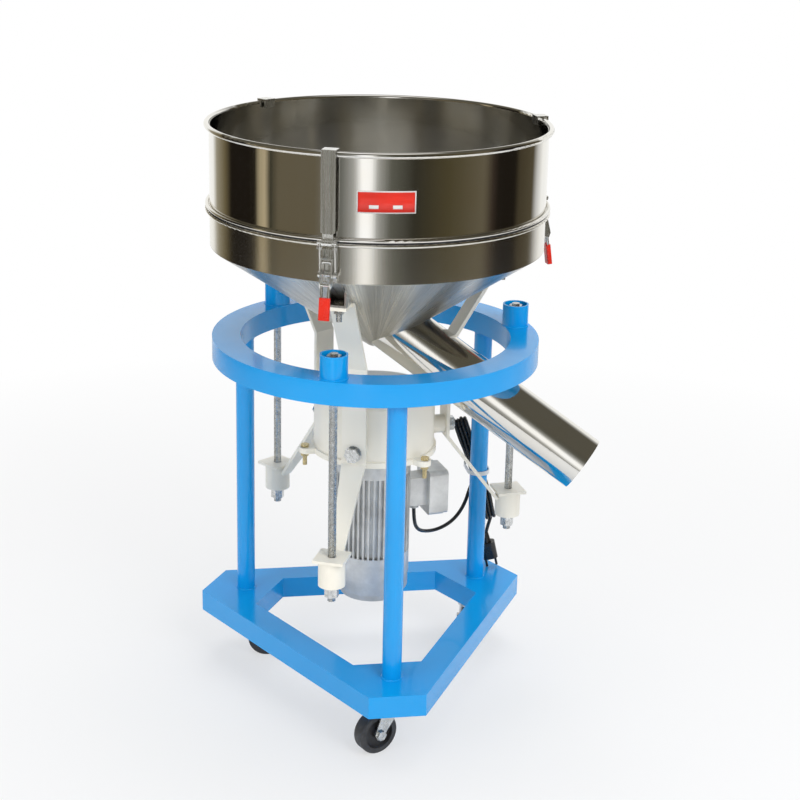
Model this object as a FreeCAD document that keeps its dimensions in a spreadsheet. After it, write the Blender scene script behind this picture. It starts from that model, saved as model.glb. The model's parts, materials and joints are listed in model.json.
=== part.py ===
"""Vibrating sieve: a round stainless bowl on a spring-hung vibrating motor, in a castered frame.

Lengths are millimetres and +Z is up.  Every piece is drawn about the machine's own
vertical axis, with local +X pointing outwards, and is then turned to its azimuth.
An azimuth is counted from -Y (the front) and grows towards +X (the right).
"""
import FreeCAD, Part
import Sketcher
import math
import operator
import os
from types import SimpleNamespace

Vector = FreeCAD.Vector

SIZES = {
    # the machine's axis, seen from the middle of the finished outline
    "axis_x": 0, "axis_y": 0,
    # azimuths of the three posts and of the three hangers; the other two follow at 120 degrees
    "post_azimuth": 7.7, "hanger_azimuth": -15.6, "ear_azimuth": 44.4,
    "spout_azimuth": 74, "box_azimuth": 108,
    # clearances
    "running_fit": 0.05, "hole_play": 0.3, "turning_gap": 0.3,
    # base of rectangular tube: three rails, cut across at the three corners
    "base_height": 100, "tube_height": 40, "tube_wall": 3,
    "rail_inner": 157, "rail_outer": 207, "corner_inner": 209, "corner_outer": 328,
    # posts and ring
    "post_circle": 259, "post_radius": 16.85, "post_wall": 3.2,
    "ring_underside": 643, "ring_height": 40, "ring_inner": 240, "ring_outer": 290,
    "ring_hole_radius": 10,
    # casters
    "caster_circle": 248, "caster_plate_length": 84, "caster_plate_width": 64,
    "caster_plate_thickness": 3, "caster_bolt_spacing": 62, "caster_bolt_row": 42,
    "caster_bolt_radius": 4, "caster_bolt_head": 5.3, "caster_bolt_reach": 9,
    "king_pin_radius": 6, "king_pin_head": 10, "head_radius": 23, "head_height": 9,
    "crown_thickness": 4, "fork_leg": 3, "fork_gap": 28, "trail": 30,
    "wheel_radius": 37.5, "wheel_width": 25, "hub_radius": 10, "hub_width": 27,
    "axle_radius": 5, "axle_head": 8, "axle_head_height": 5,
    "trail_front": 303, "trail_right": 180, "trail_left": 100,
    # rubber hangers: cups on the ring, rods through them, cups under the feet
    "hanger_circle": 262.5, "cup_radius": 23.5, "cup_wall": 3, "cup_height": 40,
    "rubber_height": 24, "rubber_play": 0.5, "rod_radius": 7, "rod_play": 0.2,
    "washer_radius": 17, "washer_thickness": 2.5, "nut_flats": 22, "nut_height": 11,
    "jam_height": 8, "rod_stub": 3.5, "rod_tail": 8,
    # feet of the arms
    "foot_side": 54, "foot_top": 364, "foot_thickness": 5, "lower_cup_height": 47,
    "cup_chamfer": 5,
    # arms: bent plates that carry the bowl
    "arm_face": 137, "arm_thickness": 6, "arm_width": 43, "arm_knee": 483,
    "arm_elbow": 658, "arm_shoulder": 218, "arm_tab_end": 252, "arm_tab_width": 33,
    "arm_top": 798, "arm_toe_height": 346, "arm_toe_width": 20,
    "bracket_thickness": 4, "bracket_web": 3,
    # bolts of the arms
    "arm_bolt_height": 503, "arm_bolt_radius": 8, "arm_bolt_flats": 24,
    "arm_bolt_head": 10, "arm_washer": 15, "boss_radius": 17, "arm_bolt_depth": 10,
    "tab_bolt_circle": 235, "tab_bolt_radius": 5, "tab_bolt_flats": 16,
    "tab_bolt_head": 3.4, "tab_nut_height": 8, "tab_bolt_end": 770,
    # weight housing, flange and motor
    "housing_radius": 109, "housing_wall": 6, "housing_top": 580, "housing_fillet": 9,
    "flange_radius": 113, "flange_top": 478, "flange_thickness": 10,
    "ear_circle": 124, "ear_radius": 14, "ear_bolt_circle": 128,
    "ear_bolt_radius": 4, "ear_bolt_flats": 13, "ear_bolt_head": 5.3,
    "ear_bolt_length": 34, "ear_nut_height": 6.5,
    "motor_radius": 68, "fin_depth": 8, "fin_thickness": 3.4, "fin_count": 44,
    "fin_top": 427, "motor_bottom": 272, "stator_bore": 41, "end_wall": 31,
    "bearing_radius": 26, "bearing_width": 15, "bearing_inset": 12,
    "shaft_radius": 12, "shaft_hole": 14, "shaft_top": 560, "shaft_bottom": 196,
    "rotor_radius": 40.4, "rotor_gap": 6,
    "upper_weight_radius": 90, "upper_weight_bottom": 496, "upper_weight_height": 44,
    "lower_weight_radius": 56, "lower_weight_bottom": 204, "lower_weight_height": 40,
    "weight_sweep": 190, "weight_hub": 24,
    "cowl_bottom": 186, "cowl_step": 226, "cowl_wall": 3, "cowl_chamfer": 9,
    "cowl_step_depth": 1.6,
    # junction box on the motor
    "box_inner": 98, "box_outer": 126, "box_lid": 9, "box_width": 70, "box_bottom": 333,
    "box_height": 85, "box_fillet": 8, "neck_width": 40, "neck_bottom": 350,
    "neck_height": 54, "gland_circle": 84, "gland_side": 10, "gland_radius": 9,
    "gland_length": 14,
    # bowl: collecting pan, spout, mesh and sieve frame
    "bowl_radius": 291.4, "bowl_wall": 2, "pan_tip_radius": 13.5, "pan_tip_height": 663,
    "pan_shoulder": 850, "pan_top": 917, "lip_radius": 295.7, "pan_bead": 3.3,
    "lip_web": 2.5, "gasket_inner": 284, "gasket_outer": 297, "gasket_thickness": 1,
    "mesh_radius": 292, "mesh_thickness": 0.6, "frame_bead": 3.2,
    "rim_radius": 295, "rim_bead": 5, "rim_height": 1058,
    "spout_radius": 50, "spout_wall": 1.5, "spout_dip": 32.5, "spout_start": 722,
    "spout_length": 452.3, "spout_relief": 3,
    # toggle latches: lever pivot, bail pivot, bail bar and strap
    "lever_pivot_x": 305, "lever_pivot_z": 887.8, "bail_pivot_x": 301.94,
    "bail_pivot_z": 866, "bar_x": 306.5, "bar_z": 919, "latch_pin": 3,
    "latch_plate_width": 26, "latch_plate_bottom": 852, "latch_plate_top": 905,
    "latch_plate": 2, "ear_half_gap": 5.5, "ear_thickness": 2, "ear_eye": 5,
    "lever_thickness": 1.7, "handle_x": 314, "handle_z": 852, "handle_end_x": 322,
    "handle_end_z": 796, "wire_radius": 2.2, "handle_half_gap": 6,
    "grip_width": 18, "grip_thickness": 9, "grip_length": 36, "grip_fillet": 3,
    "bail_half_width": 12.6, "bar_radius": 3, "bar_half_length": 16,
    "eye_radius": 5.5, "eye_half_width": 2.6, "bail_nut_drop": 11, "bail_nut_flats": 8, "bail_nut_height": 4,
    "strap_face": 301.5, "strap_thickness": 2.5, "strap_width": 24,
    "tongue_width": 17.4, "tongue_top": 932, "strap_leg_face": 285,
    "strap_leg_bottom": 1050, "hook_sweep": 205,
    # power lead, its hank behind the right post, its tie and its plug
    "lead_radius": 3.5, "hank_x": 202.5, "hank_y": 193.4, "hank_z": 353,
    "hank_length": 236, "hank_width": 34, "hank_depth": 30, "hank_lean": -19.5,
    "hank_fillet": 13.5, "tie_height": 357, "tie_band": 8, "tie_thickness": 1.6,
    "tie_slack": 3, "plug_x": 238, "plug_y": 200, "plug_z": 160.7, "plug_lean": -13,
    "plug_length": 34, "plug_width": 30, "plug_thickness": 24, "plug_neck": 8,
    "pin_radius": 2.4, "pin_length": 18, "pin_spacing": 19,
}

# the free lead, from the gland down and round to the hank, then from the hank to the plug
LEAD_ROUTE = [(76.8, 35.47, 346), (76.8, 35.47, 314), (84, 55, 281), (106, 86, 264),
              (133, 114, 259), (160, 137, 268), (180, 160, 289), (191, 183, 315),
              (203, 193, 342)]
TAIL_ROUTE = [(236.6, 193.4, 257), (233.2, 195.2, 241), (229.4, 198, 225),
              (226.6, 200, 207)]

doc = FreeCAD.newDocument("VibratingSieve")
sheet = doc.addObject("Spreadsheet::Sheet", "Sizes")
for row, (alias, number) in enumerate(SIZES.items(), start=1):
    sheet.set(f"A{row}", str(number))
    sheet.setAlias(f"A{row}", alias)
doc.recompute()


# ---- numbers that keep the formula they come from ----

class Size:
    """A cell of the sheet, or a formula of cells, with its present value."""

    def __init__(self, text, value):
        self.text = text
        self.value = value

    def __add__(self, other):
        return combined(self, "+", other)

    def __sub__(self, other):
        return combined(self, "-", other)

    def __mul__(self, other):
        return combined(self, "*", other)

    def __truediv__(self, other):
        return combined(self, "/", other)

    def __radd__(self, other):
        return combined(other, "+", self)

    def __rsub__(self, other):
        return combined(other, "-", self)

    def __rmul__(self, other):
        return combined(other, "*", self)

    def __neg__(self):
        return combined(0, "-", self)


SIGNS = {"+": operator.add, "-": operator.sub, "*": operator.mul, "/": operator.truediv}
FUNCTIONS = {
    "cos": lambda degrees: math.cos(math.radians(degrees)),
    "sin": lambda degrees: math.sin(math.radians(degrees)),
    "tan": lambda degrees: math.tan(math.radians(degrees)),
    "atan": lambda ratio: math.degrees(math.atan(ratio)),
    "sqrt": math.sqrt,
}


def as_size(number):
    return number if isinstance(number, Size) else Size(repr(number), number)


def combined(left, sign, right):
    left, right = as_size(left), as_size(right)
    return Size(f"({left.text} {sign} {right.text})", SIGNS[sign](left.value, right.value))


def function(name, number):
    number = as_size(number)
    text = number.text if name in ("sqrt", "atan") else f"({number.text}) * 1 deg"
    result = f"{name}({text})"
    if name == "atan":
        result = f"({result} / 1 deg)"
    return Size(result, FUNCTIONS[name](number.value))


def bind(item, prop, number):
    item.setExpression(prop, as_size(number).text)


S = SimpleNamespace(**{alias: Size(f"Sizes.{alias}", sheet.get(alias)) for alias in SIZES})

POST_AZIMUTHS = {"front": S.post_azimuth, "right": S.post_azimuth + 120,
                 "left": S.post_azimuth - 120}
HANGER_AZIMUTHS = {"front": S.hanger_azimuth, "right": S.hanger_azimuth + 120,
                   "left": S.hanger_azimuth - 120}
EAR_AZIMUTHS = [S.ear_azimuth, S.ear_azimuth + 120, S.ear_azimuth - 120]
TRAILS = {"front": S.trail_front, "right": S.trail_right, "left": S.trail_left}

nodes = []
cord_pieces = []


# ---- drawing helpers ----

def new_body(name):
    body = doc.addObject("PartDesign::Body", name)
    body.Label = name
    body.AllowCompound = True
    return body


def sketch_on(body, plane="XY_Plane", lift=0):
    """A sketch on one of the body's own planes, lifted along that plane's normal."""
    sketch = body.newObject("Sketcher::SketchObject", f"{body.Name}_outline")
    origin = next(item for item in body.Origin.OriginFeatures if item.Role == plane)
    sketch.AttachmentSupport = (origin, "")
    sketch.MapMode = "FlatFace"
    bind(sketch, "AttachmentOffset.Base.z", lift)
    return sketch


def leaning_sketch(body, reach, height, lean):
    """A sketch at (reach, 0, height) whose normal leans from +Z towards +X; its y is +Y."""
    sketch = sketch_on(body, lift=height)
    sketch.AttachmentOffset = FreeCAD.Placement(Vector(), FreeCAD.Rotation(Vector(0, 1, 0), 1))
    bind(sketch, "AttachmentOffset.Base.x", reach)
    bind(sketch, "AttachmentOffset.Rotation.Angle", lean)
    return sketch


def pin_down(sketch, geometry, vertex, x, y):
    """Fix one point of a sketch by two distances from its origin."""
    for kind, number in (("DistanceX", x), ("DistanceY", y)):
        number = as_size(number)
        place = sketch.addConstraint(
            Sketcher.Constraint(kind, -1, 1, geometry, vertex, number.value))
        bind(sketch, f"Constraints[{place}]", number)


def vector(point):
    x, y = map(as_size, point)
    return Vector(x.value, y.value, 0)


def outline(sketch, points, closed=True):
    """Straight lines through the points."""
    pairs = list(zip(points, points[1:] + points[:1]))
    if not closed:
        pairs = pairs[:-1]
    first = sketch.GeometryCount
    for start, end in pairs:
        line = sketch.addGeometry(Part.LineSegment(vector(start), vector(end)))
        pin_down(sketch, line, 1, *start)
        if line > first:
            sketch.addConstraint(Sketcher.Constraint("Coincident", line - 1, 2, line, 1))
    if closed:
        sketch.addConstraint(Sketcher.Constraint("Coincident", line, 2, first, 1))
    else:
        pin_down(sketch, line, 2, *points[-1])


def rectangle(sketch, left, right, bottom, top):
    outline(sketch, [(left, bottom), (right, bottom), (right, top), (left, top)])


def circle(sketch, x, y, radius):
    radius = as_size(radius)
    round_ = sketch.addGeometry(Part.Circle(vector((x, y)), Vector(0, 0, 1), radius.value))
    pin_down(sketch, round_, 3, x, y)
    place = sketch.addConstraint(Sketcher.Constraint("Radius", round_, radius.value))
    bind(sketch, f"Constraints[{place}]", radius)


def hexagon(sketch, x, y, flats):
    """A hexagon across its flats, for bolt heads and nuts."""
    reach = flats / function("cos", 30) / 2
    corners = [(x + reach * function("cos", 60 * k), y + reach * function("sin", 60 * k))
               for k in range(6)]
    outline(sketch, corners)


def slot(sketch, start, end, radius):
    """A slot along the sketch's x axis, round at both ends."""
    corners = [(start, radius), (end, radius), (end, -radius), (start, -radius)]
    upper = sketch.addGeometry(Part.LineSegment(vector(corners[0]), vector(corners[1])))
    lower = sketch.addGeometry(Part.LineSegment(vector(corners[2]), vector(corners[3])))
    for line, ends in ((upper, corners[:2]), (lower, corners[2:])):
        pin_down(sketch, line, 1, *ends[0])
        pin_down(sketch, line, 2, *ends[1])
    for centre, begin, first, second in ((end, -90, (lower, 1), (upper, 2)),
                                         (start, 90, (upper, 1), (lower, 2))):
        centre = as_size(centre)
        ring = Part.Circle(vector((centre, 0)), Vector(0, 0, 1), as_size(radius).value)
        arc = sketch.addGeometry(
            Part.ArcOfCircle(ring, math.radians(begin), math.radians(begin + 180)))
        sketch.addConstraint(Sketcher.Constraint("Coincident", arc, 1, *first))
        sketch.addConstraint(Sketcher.Constraint("Coincident", arc, 2, *second))
        place = sketch.addConstraint(
            Sketcher.Constraint("DistanceX", -1, 1, arc, 3, centre.value))
        bind(sketch, f"Constraints[{place}]", centre)


def feature(body, kind, sketch, **settings):
    """A PartDesign feature from a sketch; sizes are bound, other settings are set."""
    item = body.newObject(f"PartDesign::{kind}", f"{body.Name}_{kind}")
    item.Profile = sketch
    for prop, value in settings.items():
        if isinstance(value, Size):
            bind(item, prop, value)
        else:
            setattr(item, prop, value)
    return item


def pad(body, sketch, length, both_ways=False, down=False):
    return feature(body, "Pad", sketch, Length=as_size(length), Midplane=both_ways,
                   Reversed=down)


def cut(body, sketch, length, both_ways=False, down=True):
    """A pocket that goes down from its sketch, or up, or both ways."""
    return feature(body, "Pocket", sketch, Length=as_size(length), Midplane=both_ways,
                   Reversed=not down)


def turn(body, sketch, kind="Revolution", angle=360, both_ways=False):
    """Turn a sketch of the XZ plane about the body's own Z axis."""
    return feature(body, kind, sketch, ReferenceAxis=(sketch, ["V_Axis"]),
                   Angle=as_size(angle), Midplane=both_ways)


def turned(name, points):
    """A body of one turned outline, given as (radius, height) points."""
    body = new_body(name)
    sketch = sketch_on(body, "XZ_Plane")
    outline(sketch, points)
    turn(body, sketch)
    return body


def ring(name, inner, outer, bottom, top):
    """A plain ring or tube; a solid disc when the inner radius is zero."""
    return turned(name, [(inner, bottom), (outer, bottom), (outer, top), (inner, top)])


def add_cylinder(body, x, y, bottom, length, radius, reach=0):
    """An upright round post of a body."""
    sketch = sketch_on(body, lift=bottom)
    circle(sketch, x, y, radius)
    return pad(body, sketch, length)


def add_cross_pin(body, x, z, length, radius):
    """A round pin along Y, centred on the body's middle plane."""
    sketch = sketch_on(body, "XZ_Plane")
    circle(sketch, x, z, radius)
    return pad(body, sketch, length, both_ways=True)


def repeat_around(body, originals, count):
    """Copy features round the body's Z axis."""
    pattern = body.newObject("PartDesign::PolarPattern", f"{body.Name}_round")
    pattern.Originals = originals
    axis = next(item for item in body.Origin.OriginFeatures if item.Role == "Z_Axis")
    pattern.Axis = (axis, [""])
    pattern.Angle = 360
    bind(pattern, "Occurrences", count)
    body.Tip = pattern
    return pattern


def soften(body, base, chosen, radius, kind="Fillet"):
    """Fillet or chamfer the edges of a feature that a test picks by their middle point."""
    doc.recompute()
    names = []
    for number, edge in enumerate(base.Shape.Edges, start=1):
        middle = edge.valueAt((edge.FirstParameter + edge.LastParameter) / 2)
        if chosen(edge, middle):
            names.append(f"Edge{number}")
    item = body.newObject(f"PartDesign::{kind}", f"{body.Name}_{kind}")
    item.Base = (base, names)
    bind(item, "Radius" if kind == "Fillet" else "Size", radius)
    return item


def stand(piece, azimuth=90, circle_radius=0, facing=None, lift=0):
    """Place a piece on a circle about the machine's axis, with its +X facing an azimuth."""
    facing = as_size(azimuth if facing is None else facing)
    azimuth, circle_radius = as_size(azimuth), as_size(circle_radius)
    piece.Placement = FreeCAD.Placement(Vector(), FreeCAD.Rotation(Vector(0, 0, 1), 1))
    bind(piece, "Placement.Base.x", S.axis_x + circle_radius * function("sin", azimuth))
    bind(piece, "Placement.Base.y", S.axis_y - circle_radius * function("cos", azimuth))
    bind(piece, "Placement.Base.z", lift)
    bind(piece, "Placement.Rotation.Angle", facing - 90)
    return piece


def keep(*pieces):
    """List pieces as nodes of the part."""
    nodes.extend(pieces)


def group(name, pieces):
    """Several separate solids that share one node."""
    compound = doc.addObject("Part::Compound", name)
    compound.Label = name
    compound.Links = pieces
    nodes.append(compound)


# ---- frame ----

def hexagon_ring(sketch, rail, corner):
    """Three long sides at one distance and three short ones at another, first corner on +X."""
    half = (rail - corner * 0.5) / function("sin", 60)
    corners = []
    for turn_by in (0, 120, 240):
        along, across = function("cos", turn_by), function("sin", turn_by)
        for side in (-half, half):
            corners.append((corner * along - side * across, corner * across + side * along))
    outline(sketch, corners)


def base_frame():
    """Welded base: walls between a bottom and a top skin, with bolt holes for the casters."""
    body = new_body("base_frame")
    wall = S.tube_wall
    skins = ((S.base_height, wall), (S.base_height + S.tube_height - wall, wall))
    for bottom, thickness in skins:
        skin = sketch_on(body, lift=bottom)
        hexagon_ring(skin, S.rail_outer, S.corner_outer)
        hexagon_ring(skin, S.rail_inner, S.corner_inner)
        pad(body, skin, thickness)
    walls = sketch_on(body, lift=S.base_height)
    for offset in (0, wall):
        hexagon_ring(walls, S.rail_outer - offset, S.corner_outer - offset)
        hexagon_ring(walls, S.rail_inner + offset, S.corner_inner + offset)
    pad(body, walls, S.tube_height)
    holes = sketch_on(body, lift=S.base_height)
    for x, y in caster_bolt_places(S.caster_circle):
        circle(holes, x, y, S.caster_bolt_radius + S.hole_play)
    drilled = cut(body, holes, wall, down=False)
    repeat_around(body, [drilled], 3)
    keep(stand(body, S.post_azimuth))


def caster_bolt_places(middle):
    """The four bolts of a caster plate whose centre is on +X."""
    return [(S.caster_bolt_row * (i / 2) + middle, S.caster_bolt_spacing * (j / 2))
            for i in (-1, 1) for j in (-1, 1)]


def posts_and_ring():
    for side, azimuth in POST_AZIMUTHS.items():
        post = ring(f"post_{side}", S.post_radius - S.post_wall, S.post_radius,
                    S.base_height + S.tube_height, S.ring_underside)
        keep(stand(post, azimuth, S.post_circle))
    body = new_body("top_ring")
    section = sketch_on(body, "XZ_Plane")
    top = S.ring_underside + S.ring_height
    rectangle(section, S.ring_inner, S.ring_outer, S.ring_underside, top)
    wall = S.tube_wall
    rectangle(section, S.ring_inner + wall, S.ring_outer - wall,
              S.ring_underside + wall, top - wall)
    turn(body, section)
    hole = sketch_on(body, lift=top)
    circle(hole, S.hanger_circle, 0, S.ring_hole_radius)
    drilled = cut(body, hole, S.ring_height)
    repeat_around(body, [drilled], 3)
    keep(stand(body, S.hanger_azimuth))


def casters():
    """Swivel casters: a bolted plate with its king pin, a fork, an axle and a wheel."""
    plates, bolts = [], []
    plate_bottom = S.base_height - S.caster_plate_thickness
    for side, azimuth in POST_AZIMUTHS.items():
        plates.append(stand(caster_plate(side, plate_bottom), azimuth, S.caster_circle))
        for number, (x, y) in enumerate(caster_bolt_places(0)):
            bolt = caster_bolt(f"caster_bolt_{side}_{number}", x, y, plate_bottom)
            bolts.append(stand(bolt, azimuth, S.caster_circle))
    group("caster_plates", plates)
    group("caster_bolts", bolts)
    for side, azimuth in POST_AZIMUTHS.items():
        for piece in (caster_fork(side, plate_bottom), caster_axle(side), wheel(side)):
            keep(stand(piece, azimuth, S.caster_circle, facing=TRAILS[side]))


def caster_plate(side, bottom):
    body = new_body(f"caster_plate_{side}")
    sketch = sketch_on(body, lift=bottom)
    rectangle(sketch, -S.caster_plate_width / 2, S.caster_plate_width / 2,
              -S.caster_plate_length / 2, S.caster_plate_length / 2)
    plate = pad(body, sketch, S.caster_plate_thickness)
    holes = sketch_on(body, lift=bottom)
    for x, y in caster_bolt_places(0):
        circle(holes, x, y, S.caster_bolt_radius + S.hole_play)
    cut(body, holes, S.caster_plate_thickness, down=False)
    pin_length = S.head_height + S.turning_gap * 2
    add_cylinder(body, 0, 0, bottom - pin_length, pin_length, S.king_pin_radius)
    add_cylinder(body, 0, 0, bottom - pin_length - S.king_pin_head / 4,
                 S.king_pin_head / 4, S.king_pin_head)
    return body


def caster_bolt(name, x, y, plate_bottom):
    body = new_body(name)
    head = sketch_on(body, lift=plate_bottom - S.caster_bolt_head)
    hexagon(head, x, y, S.caster_bolt_radius * 3.25)
    pad(body, head, S.caster_bolt_head)
    add_cylinder(body, x, y, plate_bottom, S.caster_bolt_reach, S.caster_bolt_radius)
    return body


def caster_fork(side, plate_bottom):
    """A round swivel head on a crown, with two legs that trail to the axle."""
    body = new_body(f"caster_fork_{side}")
    top = plate_bottom - S.turning_gap
    crown_top = top - S.head_height
    leg_profile = sketch_on(body, "XZ_Plane")
    eye = S.axle_head + 3
    outline(leg_profile, [(-S.head_radius * 0.8, crown_top), (S.trail - eye, S.wheel_radius + 2),
                          (S.trail - eye * 0.5, S.wheel_radius - eye * 0.8),
                          (S.trail + eye * 0.5, S.wheel_radius - eye * 0.8),
                          (S.trail + eye, S.wheel_radius + 2), (S.head_radius, crown_top)])
    pad(body, leg_profile, S.fork_gap + S.fork_leg * 2, both_ways=True)
    inside = sketch_on(body, "XZ_Plane")
    rectangle(inside, -S.head_radius * 1.5, S.trail + S.wheel_radius, 0,
              crown_top - S.crown_thickness)
    cut(body, inside, S.fork_gap, both_ways=True)
    head = sketch_on(body, lift=crown_top - S.crown_thickness)
    circle(head, 0, 0, S.head_radius)
    pad(body, head, S.head_height + S.crown_thickness)
    bore = sketch_on(body, lift=top)
    circle(bore, 0, 0, S.king_pin_radius + S.running_fit)
    cut(body, bore, S.head_height)
    recess = sketch_on(body, lift=crown_top)
    circle(recess, 0, 0, S.king_pin_head + S.turning_gap)
    cut(body, recess, S.crown_thickness)
    axle_hole = sketch_on(body, "XZ_Plane")
    circle(axle_hole, S.trail, S.wheel_radius, S.axle_radius + S.running_fit)
    cut(body, axle_hole, S.fork_gap + S.fork_leg * 3, both_ways=True)
    return body


def caster_axle(side):
    """A bolt across the fork, with its head on one side and its nut on the other."""
    body = new_body(f"caster_axle_{side}")
    outside = S.fork_gap + S.fork_leg * 2
    add_cross_pin(body, S.trail, S.wheel_radius, outside + 1, S.axle_radius)
    heads = sketch_on(body, "XZ_Plane")
    hexagon(heads, S.trail, S.wheel_radius, S.axle_head * 2)
    pad(body, heads, outside + S.axle_head_height * 2, both_ways=True)
    between = sketch_on(body, "XZ_Plane")
    circle(between, S.trail, S.wheel_radius, S.axle_head * 2)
    circle(between, S.trail, S.wheel_radius, S.axle_radius)
    cut(body, between, outside, both_ways=True)
    return body


def wheel(side):
    """A wheel with a crowned tread, a sunk web and a longer hub, drawn across its axle."""
    body = new_body(f"caster_wheel_{side}")
    sketch = sketch_on(body, "XZ_Plane")
    circle(sketch, S.trail, S.wheel_radius, S.wheel_radius)
    tread = pad(body, sketch, S.wheel_width, both_ways=True)
    rounded = soften(body, tread, lambda edge, middle: edge.Length > 100,
                     S.wheel_width * 0.14)
    for sign in (-1, 1):
        web = sketch_on(body, "XZ_Plane", lift=sign * S.wheel_width / 2)
        circle(web, S.trail, S.wheel_radius, S.wheel_radius * 0.72)
        circle(web, S.trail, S.wheel_radius, S.hub_radius)
        cut(body, web, S.wheel_width * 0.3, down=sign > 0)
    add_cross_pin(body, S.trail, S.wheel_radius, S.hub_width, S.hub_radius)
    bore = sketch_on(body, "XZ_Plane")
    circle(bore, S.trail, S.wheel_radius, S.axle_radius + S.running_fit)
    cut(body, bore, S.hub_width * 2, both_ways=True)
    return body


# ---- rubber hangers ----

def hangers():
    ring_top = S.ring_underside + S.ring_height
    washer_bottom = ring_top + S.rubber_height
    cups, uppers, lowers, rods, nuts = [], [], [], [], []
    for side, azimuth in HANGER_AZIMUTHS.items():
        cup = ring(f"hanger_cup_{side}", S.cup_radius - S.cup_wall, S.cup_radius,
                   ring_top, ring_top + S.cup_height)
        rubber_radius = S.cup_radius - S.cup_wall - S.rubber_play
        upper = ring(f"upper_rubber_{side}", S.rod_radius + S.rod_play, rubber_radius,
                     ring_top + S.turning_gap, washer_bottom)
        lower = ring(f"lower_rubber_{side}", S.rod_radius + S.rod_play, rubber_radius,
                     lower_cup_bottom() + S.cup_wall, S.foot_top - S.foot_thickness)
        for list_, piece in ((cups, cup), (uppers, upper), (lowers, lower)):
            list_.append(stand(piece, azimuth, S.hanger_circle))
        rods.append(stand(hanger_rod(side, washer_bottom), azimuth, S.hanger_circle))
        for piece in rod_nuts(side, washer_bottom):
            nuts.append(stand(piece, azimuth, S.hanger_circle))
    group("hanger_cups", cups)
    group("upper_rubbers", uppers)
    group("lower_rubbers", lowers)
    group("hanger_rods", rods)
    group("rod_nuts", nuts)


def lower_cup_bottom():
    return S.foot_top - S.foot_thickness - S.lower_cup_height


def hanger_rod(side, washer_bottom):
    nut_top = washer_bottom + S.washer_thickness + S.nut_height
    bottom = (lower_cup_bottom() - S.washer_thickness - S.nut_height - S.jam_height
              - S.rod_tail)
    return ring(f"hanger_rod_{side}", 0, S.rod_radius, bottom, nut_top + S.rod_stub)


def rod_nuts(side, washer_bottom):
    """A washer and a nut above, then a washer, a nut and a lock nut below."""
    bore = S.rod_radius + S.running_fit
    below = lower_cup_bottom() - S.washer_thickness
    pieces = [ring(f"upper_washer_{side}", bore, S.washer_radius, washer_bottom,
                   washer_bottom + S.washer_thickness),
              ring(f"lower_washer_{side}", bore, S.washer_radius, below,
                   lower_cup_bottom())]
    stack = ((f"upper_nut_{side}", washer_bottom + S.washer_thickness, S.nut_height),
             (f"lower_nut_{side}", below - S.nut_height, S.nut_height),
             (f"lock_nut_{side}", below - S.nut_height - S.jam_height, S.jam_height))
    for name, bottom, height in stack:
        pieces.append(nut(name, bottom, height, S.nut_flats, bore))
    return pieces


def nut(name, bottom, height, flats, bore, x=0):
    body = new_body(name)
    sketch = sketch_on(body, lift=bottom)
    hexagon(sketch, x, 0, flats)
    circle(sketch, x, 0, bore)
    pad(body, sketch, height)
    return body


# ---- arms ----

def arm(side):
    """A bent plate: tab, slanted neck, upright web and toe, welded to a foot and its cup."""
    body = new_body(f"{side}_plate")
    half = S.arm_thickness / 2
    middle = S.arm_face - half
    spine = sketch_on(body, "XZ_Plane")
    outline(spine, [(S.arm_tab_end, S.arm_top - half), (S.arm_shoulder, S.arm_top - half),
                    (middle, S.arm_elbow), (middle, S.arm_knee),
                    (S.hanger_circle - S.cup_radius, S.arm_toe_height)], closed=False)
    end = sketch_on(body, "YZ_Plane", lift=S.arm_tab_end)
    rectangle(end, -S.arm_width / 2, S.arm_width / 2, S.arm_top - S.arm_thickness, S.arm_top)
    sweep = body.newObject("PartDesign::AdditivePipe", f"{body.Name}_plate")
    sweep.Profile = end
    sweep.Spine = spine
    sweep.Transition = "Right corner"
    trim_arm(body, middle)
    arm_foot(body)
    holes = sketch_on(body, "YZ_Plane", lift=S.arm_face)
    circle(holes, 0, S.arm_bolt_height, S.arm_bolt_radius + S.hole_play)
    cut(body, holes, S.arm_thickness)
    tab_hole = sketch_on(body, lift=S.arm_top)
    circle(tab_hole, S.tab_bolt_circle, 0, S.tab_bolt_radius + S.hole_play)
    cut(body, tab_hole, S.arm_thickness)
    return body


def trim_arm(body, middle):
    """Narrow the tab, and taper the toe from the knee down."""
    spare = S.arm_width
    tab = sketch_on(body, lift=S.arm_top + 1)
    for sign in (-1, 1):
        near, far = sign * S.arm_tab_width / 2, sign * spare
        outline(tab, [(S.arm_shoulder, near), (S.arm_tab_end + 1, near),
                      (S.arm_tab_end + 1, far), (S.arm_shoulder, far)])
    cut(body, tab, S.arm_thickness + 1)
    reach = S.hanger_circle - S.cup_radius - middle
    drop = S.arm_knee - S.arm_toe_height
    slope = function("atan", drop / reach)
    length = function("sqrt", reach * reach + drop * drop)
    toe = leaning_sketch(body, middle, S.arm_knee, slope)
    for sign in (-1, 1):
        outline(toe, [(0, sign * S.arm_width / 2), (length + 10, sign * S.arm_toe_width / 2),
                      (length + 10, sign * spare), (0, sign * spare)])
    cut(body, toe, S.arm_thickness * 3, both_ways=True)


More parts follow.
